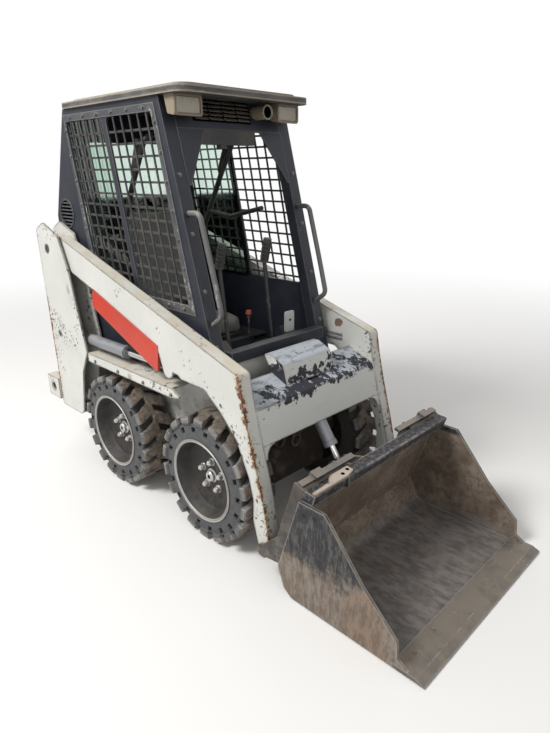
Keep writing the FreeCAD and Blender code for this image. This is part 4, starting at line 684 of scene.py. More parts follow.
class LOADER_OT_finishes(bpy.types.Operator):
    """Builds every finish and gives it to the CAD nodes"""
    bl_idname = "loader.finishes"
    bl_label = "Finishes"

    def execute(self, context):
        colours = context.scene.loader_finish
        body, cab = tuple(colours.body), tuple(colours.cab)
        steel = (0.24, 0.235, 0.225, 1.0)
        black_undercoat = (0.035, 0.033, 0.032, 1.0)
        rusted = (0.16, 0.075, 0.04, 1.0)
        scratched = (0.075, 0.050, 0.038, 1.0)
        # Painted shade: a flat black with no shine, laid at the bottom of openings and in holes where the real thing
        # has only shade.
        void = new_material("void_black")
        void[2].inputs["Base Color"].default_value = (0.002, 0.002, 0.002, 1.0)
        void[2].inputs["Specular IOR Level"].default_value = 0.0
        void[2].inputs["Roughness"].default_value = 1.0
        GROUPS.update(edge_wear=build_edge_wear(), rust_runs=build_rust_runs(),
                      settled_dust=build_settled_dust(), corner_rust=build_corner_rust(), grain=build_grain())
        grey = (0.13, 0.13, 0.128, 1.0)
        MATERIALS.update(
            body_paint=worn_finish("body_paint", body, scratched, radius=0.011, edges=0.9, chips=0.50,
                                   runs=0.36, dust=0.30, gloss=0.48, shade=0.22, corners=True),
            cab_paint=worn_finish("cab_paint", cab, grey, radius=0.007, edges=0.75, chips=0.34, runs=0.10, dust=0.08,
                                  gloss=0.5),
            strip_paint=worn_finish("strip_paint", (0.040, 0.043, 0.050, 1.0), (0.22, 0.22, 0.21, 1.0),
                                    radius=0.006, chips=0.75, runs=0.12, dust=0.28, splash=1.9, gloss=0.55),
            grille_paint=worn_finish("grille_paint", (0.045, 0.034, 0.029, 1.0), (0.40, 0.35, 0.28, 1.0),
                                     radius=0.002, edges=0.8, chips=0.45, runs=0.5, dust=0.25, gloss=0.6),
            lug_paint=worn_finish("lug_paint", (0.40, 0.345, 0.295, 1.0), rusted, radius=0.006, edges=0.9,
                                  chips=0.75, runs=0.6, dust=0.3, gloss=0.5),
            bracket_paint=worn_finish("bracket_paint", (0.62, 0.64, 0.62, 1.0), rusted, radius=0.003, edges=0.5,
                                      chips=0.3, runs=0.1, dust=0.2),
            void_black=void[0],
            tub_paint=worn_finish("tub_paint", body, rusted, radius=0.012, edges=0.8, chips=0.4, runs=0.4, dust=1.0,
                                  gloss=0.6, splash=0.82, soil=(0.040, 0.030, 0.024, 1.0), caked_to=along(1.07)),
            cross_paint=coated_tread("cross_paint", body, 0.655),
            hump_paint=coated_tread("hump_paint", body, 0.690, 0.26),
            roof_paint=worn_finish("roof_paint", (0.05, 0.05, 0.052, 1.0), (0.42, 0.37, 0.29, 1.0), radius=0.012,
                                   edges=1.0, chips=0.4, runs=0.3, dust=0.75, gloss=0.5),
            screen_paint=worn_finish("screen_paint", (0.022, 0.022, 0.024, 1.0), grey, radius=0.002, edges=0.5,
                                     runs=0.1, dust=0.35, gloss=0.5),
            handle_paint=worn_finish("handle_paint", (0.10, 0.10, 0.10, 1.0), steel, radius=0.004, edges=0.7,
                                     chips=0.6, runs=0.05, dust=0.4, gloss=0.4),
            bar_paint=worn_finish("bar_paint", (0.018, 0.018, 0.019, 1.0), grey, radius=0.004, chips=0.3,
                                  runs=0.05, dust=0.35, gloss=0.4),
            lever_paint=worn_finish("lever_paint", (0.020, 0.020, 0.021, 1.0), steel, radius=0.004, chips=0.3,
                                    runs=0.05, dust=0.15, gloss=0.45),
            support_paint=worn_finish("support_paint", tuple(colours.support), steel, edges=0.7, chips=0.12,
                                      runs=0.03, dust=0.12, gloss=0.35),
            coupler_paint=worn_finish("coupler_paint", (0.030, 0.028, 0.027, 1.0), rusted, edges=0.9, chips=0.4,
                                      runs=0.4, dust=0.35, gloss=0.6),
            bucket_steel=scoured_bucket(),
            edge_steel=worn_finish("edge_steel", (0.13, 0.115, 0.10, 1.0), (0.30, 0.28, 0.255, 1.0), radius=0.006,
                                   edges=0.9, chips=0.5, runs=0.4, dust=0.3, gloss=0.42, metal=0.6, depth=0.0009),
            pin_steel=worn_finish("pin_steel", (0.15, 0.145, 0.14, 1.0), steel, radius=0.003, edges=0.6,
                                  runs=0.4, dust=0.4, gloss=0.42, metal=0.8),
            barrel_paint=worn_finish("barrel_paint", (0.25, 0.265, 0.29, 1.0), rusted, radius=0.004, edges=0.7,
                                     chips=0.3, runs=0.2, dust=0.4, gloss=0.38, metal=0.3),
            rod_chrome=worn_finish("rod_chrome", (0.62, 0.62, 0.61, 1.0), steel, radius=0.003, edges=0.2,
                                   chips=0.02, runs=0.0, dust=0.12, gloss=0.14, metal=1.0, depth=0.0001,
                                   shade=0.08),
            axle_iron=worn_finish("axle_iron", (0.045, 0.042, 0.040, 1.0), rusted, runs=0.4, dust=0.8, gloss=0.6),
            engine_iron=worn_finish("engine_iron", (0.055, 0.055, 0.052, 1.0), steel, runs=0.2, dust=0.6,
                                    gloss=0.5),
            panel_plastic=worn_finish("panel_plastic", (0.030, 0.030, 0.031, 1.0), grey, edges=0.25, chips=0.05,
                                      runs=0.0, dust=0.3, gloss=0.5, grain=900.0),
            lamp_plastic=worn_finish("lamp_plastic", (0.25, 0.20, 0.14, 1.0), black_undercoat, edges=0.35,
                                     chips=0.08, runs=0.04, dust=0.4, gloss=0.45),
            tyre_rubber=tyre_finish(),
            rim_paint=worn_finish("rim_paint", (0.40, 0.39, 0.37, 1.0), black_undercoat, radius=0.004, edges=0.4,
                                  chips=0.45, runs=0.25, dust=0.3, gloss=0.42, metal=0.4),
            nut_steel=worn_finish("nut_steel", (0.55, 0.54, 0.52, 1.0), rusted, radius=0.002, edges=0.1, chips=0.3,
                                  runs=0.25, dust=0.15, gloss=0.3, metal=0.85),
            seat_vinyl=worn_finish("seat_vinyl", tuple(context.scene.loader_seat.cover),
                                   (0.20, 0.19, 0.18, 1.0), radius=0.012, edges=0.35, chips=0.05, runs=0.0,
                                   dust=0.35, gloss=0.55, grain=520.0, depth=0.0005, shade=0.4),
            window_glass=tinted_glass(), dish_black=worn_finish(
                "dish_black", (0.014, 0.013, 0.013, 1.0), (0.05, 0.03, 0.02, 1.0), edges=0.3, chips=0.3, runs=0.2,
                dust=0.10, gloss=0.6),
            seal_rubber=worn_finish("seal_rubber", (0.014, 0.014, 0.014, 1.0), grey, edges=0.2, chips=0.0,
                                    runs=0.0, dust=0.4, gloss=0.6, grain=700.0),
            weld_steel=worn_finish("weld_steel", body, rusted, radius=0.003, edges=0.6, chips=0.4, runs=0.5,
                                   dust=0.5),
            lens=lamp_lens("work_lens", (0.33, 0.29, 0.215, 1.0)),
            tail_lens=lamp_lens("tail_lens", (0.45, 0.03, 0.02, 1.0)),
        )
        own = {"chassis_frame": "tub_paint", "cross_member": "cross_paint", "tilt_cover": "hump_paint"}
        for part in frame["record"]["subparts"]:
            slot = own.get(part["node"], part["material_slot"])
            finish_node(frame["nodes"][part["node"]], MATERIALS[slot])
        return {"FINISHED"}


def finish_node(part, material):
    """One material on a CAD node."""
    part.data.materials.clear()
    part.data.materials.append(material)


def coated_tread(name, body, fold_z, sides=0.0):
    """Pale worn body paint, blue-grey on upward faces from wear and a painted sky reflection, scuffed where feet tread,
    with ragged black chips along a fold and on the sides.
    """
    material, tree, surface = new_material(name)
    place = node(tree, "ShaderNodeTexCoord").outputs["Object"]
    height = node(tree, "ShaderNodeSeparateXYZ", {0: place}).outputs["Z"]
    facing = node(tree, "ShaderNodeNewGeometry").outputs["Normal"]
    ways = node(tree, "ShaderNodeSeparateXYZ", {0: facing})
    up = remap(tree, ways.outputs["Z"], 0.2, 0.6)
    aside = remap(tree, maths(tree, "ABSOLUTE", ways.outputs["X"]), 0.6, 0.9)
    above = maths(tree, "SUBTRACT", height, fold_z)
    reach = maths(tree, "MAXIMUM", maths(tree, "MULTIPLY", above, 2.2), maths(tree, "MULTIPLY", above, -5.5))
    clumps = maths(tree, "MULTIPLY", speckle(tree, place, 6.0, 3.0, 0.5), 0.7)
    fine = speckle(tree, place, 62.0, 5.0, 0.6)
    torn = maths(tree, "ADD", maths(tree, "MULTIPLY", speckle(tree, place, 24.0, 6.0, 0.65), 0.6),
                 maths(tree, "MULTIPLY", fine, 0.4))
    torn = maths(tree, "ADD", maths(tree, "ADD", torn, clumps), maths(tree, "MULTIPLY", aside, sides))
    coat = remap(tree, maths(tree, "SUBTRACT", torn, reach), 0.855, 0.868)
    drawn = node(tree, "ShaderNodeMapping", {"Vector": place, "Scale": (0.35, 1.0, 1.0)}).outputs["Vector"]
    scuffs = maths(tree, "MULTIPLY", remap(tree, speckle(tree, drawn, 30.0, 8.0, 0.72), 0.50, 0.60), up)
    bare = group(tree, "edge_wear", {"Radius": 0.010, "Amount": 0.7, "Chips": 0.45})
    # Upward faces turn blue-grey: worn paint, with a painted reflection of the sky.
    tops_with_sky_sheen = mix(tree, up, body, (0.40, 0.425, 0.455, 1.0))
    coloured = mix(tree, maths(tree, "MULTIPLY", scuffs, 0.75), tops_with_sky_sheen, (0.110, 0.130, 0.155, 1.0))
    coloured = mix(tree, bare.outputs["Mask"], coloured, (0.07, 0.055, 0.045, 1.0))
    coloured = mix(tree, coat, coloured, (0.016, 0.017, 0.023, 1.0))
    tree.links.new(coloured, surface.inputs["Base Color"])
    tree.links.new(remap(tree, coat, 0.0, 1.0, 0.5, 0.75), surface.inputs["Roughness"])
    bump = node(tree, "ShaderNodeBump", {"Height": maths(tree, "ADD", coat, maths(tree, "MULTIPLY", fine, 0.4)),
                                         "Distance": 0.0010, "Strength": 0.7})
    tree.links.new(bump.outputs["Normal"], surface.inputs["Normal"])
    return material


def scoured_bucket():
    """Bucket steel: scoured floor, earth in the back, dark paint left high up, and a rusty patch low on each side."""
    material, tree, surface = new_material("bucket_steel")
    place = node(tree, "ShaderNodeTexCoord").outputs["Object"]
    parts = node(tree, "ShaderNodeSeparateXYZ", {0: place})
    across, y, height = (parts.outputs[label] for label in "XYZ")
    outer = remap(tree, maths(tree, "ABSOLUTE", across), 0.4555, 0.4565)
    coarse = speckle(tree, place, 8.0, 8.0, 0.62)
    fine = speckle(tree, place, 55.0, 6.0, 0.65)
    drawn = node(tree, "ShaderNodeMapping", {"Vector": place, "Scale": (1.0, 0.45, 1.0)}).outputs["Vector"]
    scraped = speckle(tree, drawn, 30.0, 9.0, 0.72)
    hung = node(tree, "ShaderNodeMapping", {"Vector": place, "Scale": (1.0, 1.0, 0.30)}).outputs["Vector"]
    streaks = speckle(tree, hung, 60.0, 8.0, 0.74)
    earth = mix(tree, remap(tree, coarse, 0.36, 0.66), (0.120, 0.088, 0.064, 1.0), (0.215, 0.172, 0.132, 1.0))
    earth = mix(tree, maths(tree, "MULTIPLY", remap(tree, fine, 0.48, 0.62), 0.55), earth, (0.055, 0.042, 0.034, 1.0))
    steel = mix(tree, remap(tree, scraped, 0.38, 0.62), (0.100, 0.088, 0.080, 1.0), (0.190, 0.172, 0.158, 1.0))
    low = remap(tree, maths(tree, "ADD", height, maths(tree, "MULTIPLY", coarse, 0.10)), 0.115, 0.055)
    inside = mix(tree, low, earth, steel)
    paint = mix(tree, remap(tree, streaks, 0.46, 0.60), (0.020, 0.020, 0.024, 1.0), (0.080, 0.076, 0.070, 1.0))
    top = remap(tree, maths(tree, "ADD", height, maths(tree, "MULTIPLY", coarse, 0.05)), 0.428, 0.446)
    lip = mix(tree, remap(tree, fine, 0.50, 0.58), (0.016, 0.017, 0.024, 1.0), (0.085, 0.075, 0.066, 1.0))
    coloured = mix(tree, top, inside, lip)
    line = maths(tree, "ADD", height, maths(tree, "MULTIPLY", maths(tree, "SUBTRACT", coarse, 0.5), 0.35))
    side = mix(tree, remap(tree, line, 0.17, 0.24), mix(tree, remap(tree, streaks, 0.40, 0.60), (0.135, 0.102, 0.078, 1.0),
                                                       (0.225, 0.190, 0.155, 1.0)), paint)
    patch = maths(tree, "MULTIPLY", remap(tree, y, -1.115, -1.070), remap(tree, y, -0.915, -0.925))
    patch = maths(tree, "MULTIPLY", patch, remap(tree, line, 0.21, 0.15))
    patch = maths(tree, "MULTIPLY", patch, remap(tree, streaks, 0.40, 0.58))
    side = mix(tree, maths(tree, "MULTIPLY", patch, 0.38), side, (0.230, 0.115, 0.055, 1.0))
    # Painted shade: two near-black discs on each side plate stand for the holes' shaded insides.
    for hole_e, hole_z in ((0.498, 0.388), (0.452, 0.396)):
        off = maths(tree, "POWER", maths(tree, "SUBTRACT", y, along(hole_e)), 2.0)
        off = maths(tree, "ADD", off, maths(tree, "POWER", maths(tree, "SUBTRACT", height, hole_z), 2.0))
        side = mix(tree, remap(tree, off, 0.000085, 0.000075), side, (0.006, 0.006, 0.006, 1.0))
    coloured = mix(tree, outer, coloured, side)
    bare = group(tree, "edge_wear", {"Radius": 0.008, "Amount": 0.8, "Chips": 0.2})
    coloured = mix(tree, bare.outputs["Mask"], coloured, (0.30, 0.28, 0.255, 1.0))
    rusty = group(tree, "rust_runs", {"Amount": 0.42})
    coloured = mix(tree, maths(tree, "MULTIPLY", rusty.outputs["Mask"], 0.5), coloured, (0.17, 0.075, 0.035, 1.0))
    tree.links.new(coloured, surface.inputs["Base Color"])
    tree.links.new(remap(tree, bare.outputs["Mask"], 0.0, 1.0, 0.70, 0.42), surface.inputs["Roughness"])
    surface.inputs["Metallic"].default_value = 0.15
    heap = maths(tree, "ADD", maths(tree, "MULTIPLY", fine, 0.6), scraped)
    bump = node(tree, "ShaderNodeBump", {"Height": heap, "Distance": 0.0016, "Strength": 0.7})
    tree.links.new(bump.outputs["Normal"], surface.inputs["Normal"])
    return material


def build_tyre_zones(sizes):
    """Masks of a tyre's running face, of the grooves between blocks and of the blocks' sides."""
    tree, given, result = shader_group("Tyre zones", [("Reach", "value", 1.0)],
                                       [("Running face", "value"), ("Groove", "value"), ("Block", "value")])
    place = node(tree, "ShaderNodeTexCoord").outputs["Object"]
    parts = node(tree, "ShaderNodeSeparateXYZ", {0: place})
    across, y, z = parts.outputs["X"], parts.outputs["Y"], parts.outputs["Z"]
    gap = maths(tree, "MINIMUM", *(maths(tree, "ABSOLUTE", maths(tree, "SUBTRACT", y, axle_y))
                                   for axle_y in (FRONT_AXLE_Y, REAR_AXLE_Y)))
    high = maths(tree, "SUBTRACT", z, AXLE_HEIGHT)
    squares = maths(tree, "ADD", maths(tree, "MULTIPLY", gap, gap), maths(tree, "MULTIPLY", high, high))
    reach = maths(tree, "MULTIPLY", maths(tree, "SQRT", squares), given.outputs["Reach"])
    inward = maths(tree, "SUBTRACT", sizes.outer_x - 0.012, maths(tree, "ABSOLUTE", across))
    tread = sizes.radius - sizes.lug_depth
    top = remap(tree, reach, sizes.radius - 0.006, sizes.radius - 0.001)
    groove = maths(tree, "MULTIPLY", remap(tree, reach, tread + 0.008, tread + 0.002),
                   remap(tree, inward, 0.0, 0.008))
    block = remap(tree, reach, tread - 0.004, tread + 0.006)
    for label, mask in (("Running face", top), ("Groove", groove), ("Block", block)):
        tree.links.new(mask, result.inputs[label])
    return tree


def tyre_finish():
    """Solid rubber: plain dark sides, scuffed grey blocks with pale corners, and a brown running face."""
    scene = bpy.context.scene
    colours = scene.loader_finish
    GROUPS["tyre_zones"] = build_tyre_zones(scene.loader_tyre)
    material, tree, surface = new_material("tyre_rubber")
    place = node(tree, "ShaderNodeTexCoord").outputs["Object"]
    zones = group(tree, "tyre_zones", {"Reach": 1.0})
    corner = group(tree, "edge_wear", {"Radius": 0.006, "Amount": 0.85, "Chips": 0.25})
    scuff = remap(tree, speckle(tree, place, 38.0, 8.0, 0.7), 0.34, 0.66)
    cloud = remap(tree, speckle(tree, place, 9.0, 5.0, 0.6), 0.3, 0.7)
    side = mix(tree, maths(tree, "MULTIPLY", scuff, 0.35), colours.rubber, (0.125, 0.124, 0.122, 1.0))
    flank = mix(tree, cloud, (0.075, 0.075, 0.077, 1.0), (0.20, 0.19, 0.175, 1.0))
    flank = mix(tree, maths(tree, "MULTIPLY", corner.outputs["Mask"], 0.9), flank, (0.40, 0.39, 0.365, 1.0))
    face = mix(tree, scuff, (0.055, 0.048, 0.042, 1.0), (0.24, 0.185, 0.135, 1.0))
    face = mix(tree, maths(tree, "MULTIPLY", cloud, 0.5), face, (0.11, 0.10, 0.095, 1.0))
    coloured = mix(tree, zones.outputs["Block"], side, flank)
    coloured = mix(tree, zones.outputs["Running face"], coloured, face)
    coloured = mix(tree, zones.outputs["Groove"], coloured, (0.030, 0.025, 0.021, 1.0))
    tree.links.new(coloured, surface.inputs["Base Color"])
    surface.inputs["Roughness"].default_value = 0.78
    height = group(tree, "grain", {"Scale": 420.0, "Dents": 1.0}).outputs["Height"]
    lowered = maths(tree, "SUBTRACT", height, maths(tree, "MULTIPLY", scuff, 0.7))
    bump = node(tree, "ShaderNodeBump", {"Height": lowered, "Distance": 0.0012, "Strength": 0.6})
    tree.links.new(bump.outputs["Normal"], surface.inputs["Normal"])
    return material


def tinted_glass():
    """Greenish cab glass with a film of dust."""
    material, tree, surface = new_material("window_glass")
    dusty = group(tree, "settled_dust", {"Amount": 0.7, "Splash height": 0.2})
    tree.links.new(remap(tree, dusty.outputs["Mask"], 0.0, 1.0, 0.04, 0.45), surface.inputs["Roughness"])
    film = mix(tree, dusty.outputs["Mask"], (0.66, 0.80, 0.72, 1.0), (0.62, 0.66, 0.60, 1.0))
    tree.links.new(film, surface.inputs["Base Color"])
    surface.inputs["Transmission Weight"].default_value = 1.0
    surface.inputs["IOR"].default_value = 1.45
    return material


def lamp_lens(name, colour):
    """Moulded lens with upright ribs, as a glossy plastic."""
    material, tree, surface = new_material(name)
    place = node(tree, "ShaderNodeTexCoord").outputs["Object"]
    across = node(tree, "ShaderNodeSeparateXYZ", {0: place}).outputs["X"]
    ribs = maths(tree, "SINE", maths(tree, "MULTIPLY", across, 900.0))
    bump = node(tree, "ShaderNodeBump", {"Height": ribs, "Distance": 0.0008, "Strength": 0.7})
    tree.links.new(bump.outputs["Normal"], surface.inputs["Normal"])
    dusty = group(tree, "settled_dust", {"Amount": 0.6, "Splash height": 0.3})
    tinted = mix(tree, dusty.outputs["Mask"], colour, (0.42, 0.37, 0.29, 1.0))
    tree.links.new(tinted, surface.inputs["Base Color"])
    surface.inputs["Roughness"].default_value = 0.22
    surface.inputs["Coat Weight"].default_value = 0.6
    return material


class LOADER_OT_tyres(bpy.types.Operator):
    """Makes the four solid tyres with their swept tread blocks and side holes"""
    bl_idname = "loader.tyres"
    bl_label = "Tyres"

    def execute(self, context):
        sizes = context.scene.loader_tyre
        tree = repeat_tree("Repeat round axle")
        turn = math.tau / sizes.lugs
        for place, x_sign, axle_y in WHEELS:
            axle = (axle_y, AXLE_HEIGHT)
            carcass = self.carcass(place, x_sign, axle, sizes)
            blocks = []
            for row, start in (("outer", 0.0), ("inner", turn / 2)):
                block = self.block(place, row, x_sign, sizes)
                values = {"Count": sizes.lugs, "Start turn": start, "Axle": (0.0, axle_y, AXLE_HEIGHT),
                          "Finish": MATERIALS["tyre_rubber"]}
                blocks.append(run_tree(block, tree, values))
            tyre = joined("tyre_cover_" + place, [carcass] + blocks)
            ride_and_slot(tyre, "wheel_" + place)
            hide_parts("tyre_" + place)
        return {"FINISHED"}

    def carcass(self, place, x_sign, axle, sizes):
        """The tyre's body: crowned tread, rounded shoulders and a row of holes in its outer side."""
        outer, inner = sizes.outer_x, sizes.outer_x - sizes.width
        tread = sizes.radius - sizes.lug_depth
        seat = sizes.rim_radius - 0.0095
        side = 0.006
        profile = [(outer - 0.004, seat), (outer - 0.001, seat + 0.008), (outer - 0.0025, seat + 0.016),
                   (outer - side, tread - 0.041), (outer - side, tread - 0.016), (outer - 0.010, tread - 0.008),
                   (outer - 0.022, tread - 0.002), (outer - sizes.width / 2, tread + 0.002),
                   (inner + 0.022, tread - 0.002), (inner + 0.010, tread - 0.010), (inner + side, tread - 0.022),
                   (inner + 0.002, seat + 0.014), (inner + 0.003, seat)]
        shape = bmesh.new()
        cells = 6
        segments = sizes.lugs * cells
        rings, faces = turned_into(shape, profile, x_sign, axle, segments)
        hole_step = 3
        count = len(profile)
        for number in range(sizes.lugs):
            pair = [faces[(number * cells + cell) % segments * count + hole_step] for cell in (0, segments - 1)]
            pair[1] = faces[(number * cells - 1) % segments * count + hole_step]
            opened = bmesh.ops.dissolve_faces(shape, faces=pair)["region"]
            bmesh.ops.inset_region(shape, faces=opened, thickness=0.0010)
            pushed = bmesh.ops.extrude_discrete_faces(shape, faces=opened)["faces"]
            for face in pushed:
                bmesh.ops.translate(shape, verts=face.verts, vec=(-x_sign * 0.020, 0, 0))
        bmesh.ops.recalc_face_normals(shape, faces=shape.faces)
        return mesh_piece("carcass_" + place, shape, [MATERIALS["tyre_rubber"]])

    def block(self, place, row, x_sign, sizes):
        """One tread block about the X axis: it rises on the sidewall, rounds the shoulder and sweeps in."""
        turn = math.tau / sizes.lugs
        half = turn * sizes.lug_share / 2
        sweep = turn * 0.42
        tread = sizes.radius - sizes.lug_depth
        middle = sizes.outer_x - sizes.width / 2
        outward = 1 if row == "outer" else -1
        edge = sizes.outer_x if row == "outer" else sizes.outer_x - sizes.width
        sections = [(edge - outward * 0.007, tread - 0.014, -0.02, 1.03), (edge, tread - 0.005, -0.02, 1.0),
                    (edge, sizes.radius - 0.010, 0.0, 0.98), (edge - outward * 0.006, sizes.radius - 0.001, 0.02, 0.98),
                    (edge - outward * 0.028, sizes.radius, 0.10, 1.02),
                    ((edge + middle) / 2 + outward * 0.004, sizes.radius, 0.36, 1.16),
                    (middle - outward * 0.008, sizes.radius, 1.0, 1.22)]
        shape = bmesh.new()
        tops, roots = [], []
        for x, radius, lag, width in sections:
            base = min(radius - 0.006, tread - 0.006)
            deep = x if abs(x - edge) > 0.03 else edge - outward * 0.022
            top, root = [], []
            for spread in (-1.0, -0.5, 0.5, 1.0):
                angle = lag * sweep + spread * half * width
                top.append(shape.verts.new((x_sign * x, radius * math.sin(angle), radius * math.cos(angle))))
            for spread in (-1.08, 1.08):
                angle = lag * sweep + spread * half
                root.append(shape.verts.new((x_sign * deep, base * math.sin(angle), base * math.cos(angle))))
            tops.append(top)
            roots.append(root)
        for number in range(len(sections) - 1):
            near, far = tops[number], tops[number + 1]
            for step in range(3):
                shape.faces.new((near[step], near[step + 1], far[step + 1], far[step]))
            low, following = roots[number], roots[number + 1]
            shape.faces.new((low[0], near[0], far[0], following[0]))
            shape.faces.new((near[3], low[1], following[1], far[3]))
            shape.faces.new((low[1], low[0], following[0], following[1]))
        for top, root in ((tops[0], roots[0]), (tops[-1], roots[-1])):
            shape.faces.new((root[0], top[0], top[1], top[2], top[3], root[1]))
        bmesh.ops.recalc_face_normals(shape, faces=shape.faces)
        piece = mesh_piece("block_%s_%s" % (place, row), shape, [MATERIALS["tyre_rubber"]])
        return bevel(piece, 0.0020, 2, 0.5)


def joined(name, pieces):
    """Several finished pieces as one object."""
    shape = bmesh.new()
    materials = []
    for piece in pieces:
        offset = []
        for material in piece.data.materials:
            if material not in materials:
                materials.append(material)
            offset.append(materials.index(material))
        start = len(shape.faces)
        shape.from_mesh(piece.data)
        shape.faces.ensure_lookup_table()
        for face in shape.faces[start:]:
            face.material_index = offset[face.material_index] if offset else 0
    for piece in pieces:
        bpy.data.objects.remove(piece)
    return mesh_piece(name, shape, materials)


class LOADER_OT_rims(bpy.types.Operator):
    """Makes the four dished rims with their nuts and hub caps"""
    bl_idname = "loader.rims"
    bl_label = "Rims"

    def execute(self, context):
        sizes = context.scene.loader_tyre
        tree = repeat_tree("Repeat round hub")
        face_x = sizes.outer_x + 0.003
        disc_x = 0.3820
        seat = sizes.rim_radius - 0.0105
        for place, x_sign, axle_y in WHEELS:
            axle = (axle_y, AXLE_HEIGHT)
            profile = [(0.3728, 0.001), (0.3728, 0.094), (0.378, 0.166), (0.284, 0.168), (0.284, seat),
                       (face_x - 0.005, seat), (face_x - 0.001, sizes.rim_radius - 0.002),
                       (face_x, sizes.rim_radius - 0.004), (face_x - 0.002, sizes.rim_radius - 0.006),
                       (face_x - 0.003, sizes.rim_radius - 0.010), (face_x - 0.001, sizes.rim_radius - 0.012),
                       (face_x - 0.001, sizes.rim_radius - 0.015), (face_x - 0.004, sizes.rim_radius - 0.017),
                       (0.412, 0.160), (0.392, 0.150), (disc_x + 0.002, 0.118), (disc_x, 0.100),
                       (disc_x, 0.078), (disc_x + 0.001, 0.001)]
            slots = [1] * len(profile)
            for step in range(5, 12):
                slots[step] = 0
            shape = bmesh.new()
            turned_into(shape, profile, x_sign, axle, 120, slots)
            bmesh.ops.recalc_face_normals(shape, faces=shape.faces)
            dish = mesh_piece("dish_" + place, shape, [MATERIALS["rim_paint"], MATERIALS["dish_black"]])
            nuts = run_tree(self.nut(place, x_sign, disc_x), tree,
                            {"Count": 5, "Start turn": math.pi / 2, "Axle": (0.0, axle_y, AXLE_HEIGHT),
                             "Finish": MATERIALS["nut_steel"]})
            rim = joined("rim_cover_" + place, [dish, nuts, self.cap(place, x_sign, axle, disc_x)])
            ride_and_slot(rim, "wheel_" + place)
            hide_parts("rim_" + place)
        return {"FINISHED"}

    def nut(self, place, x_sign, disc_x):
        """A domed nut on its washer, one hub circle away from the X axis."""
        shape = bmesh.new()
        circle = 0.063
        for start, end, radius, end_radius, sides in (
                (0.0, 0.004, 0.0180, 0.0175, 24), (0.004, 0.017, 0.0150, 0.0145, 6),
                (0.017, 0.023, 0.0135, 0.0115, 20), (0.023, 0.027, 0.0115, 0.0060, 20)):
            rod_into(shape, (x_sign * (disc_x + start), circle, 0), (x_sign * (disc_x + end), circle, 0), radius,
                     sides, end_radius=end_radius)
        piece = mesh_piece("nut_" + place, shape, [MATERIALS["nut_steel"]], 0.5)
        return bevel(piece, 0.0010, 1)

    def cap(self, place, x_sign, axle, disc_x):
        """The hub's cap with a square recess in its face."""
        profile = [(disc_x, 0.001), (disc_x, 0.031), (disc_x + 0.005, 0.031), (disc_x + 0.007, 0.025),
                   (disc_x + 0.018, 0.024), (disc_x + 0.022, 0.020), (disc_x + 0.022, 0.001)]
        shape = bmesh.new()
        turned_into(shape, profile, x_sign, axle, 48)
        bmesh.ops.recalc_face_normals(shape, faces=shape.faces)
        cap = mesh_piece("cap_" + place, shape, [MATERIALS["nut_steel"], MATERIALS["dish_black"]])
        shape = bmesh.new()
        near, far = sorted((x_sign * (disc_x + 0.014), x_sign * (disc_x + 0.030)))
        box_into(shape, (near, axle[0] - 0.008, axle[1] - 0.008), (far, axle[0] + 0.008, axle[1] + 0.008))
        square = mesh_piece("square_" + place, shape, [MATERIALS["dish_black"]])
        recess = cap.modifiers.new("Square recess", "BOOLEAN")
        recess.object = square
        recess.operation = "DIFFERENCE"
        settle(cap)
        bpy.data.objects.remove(square)
        return cap


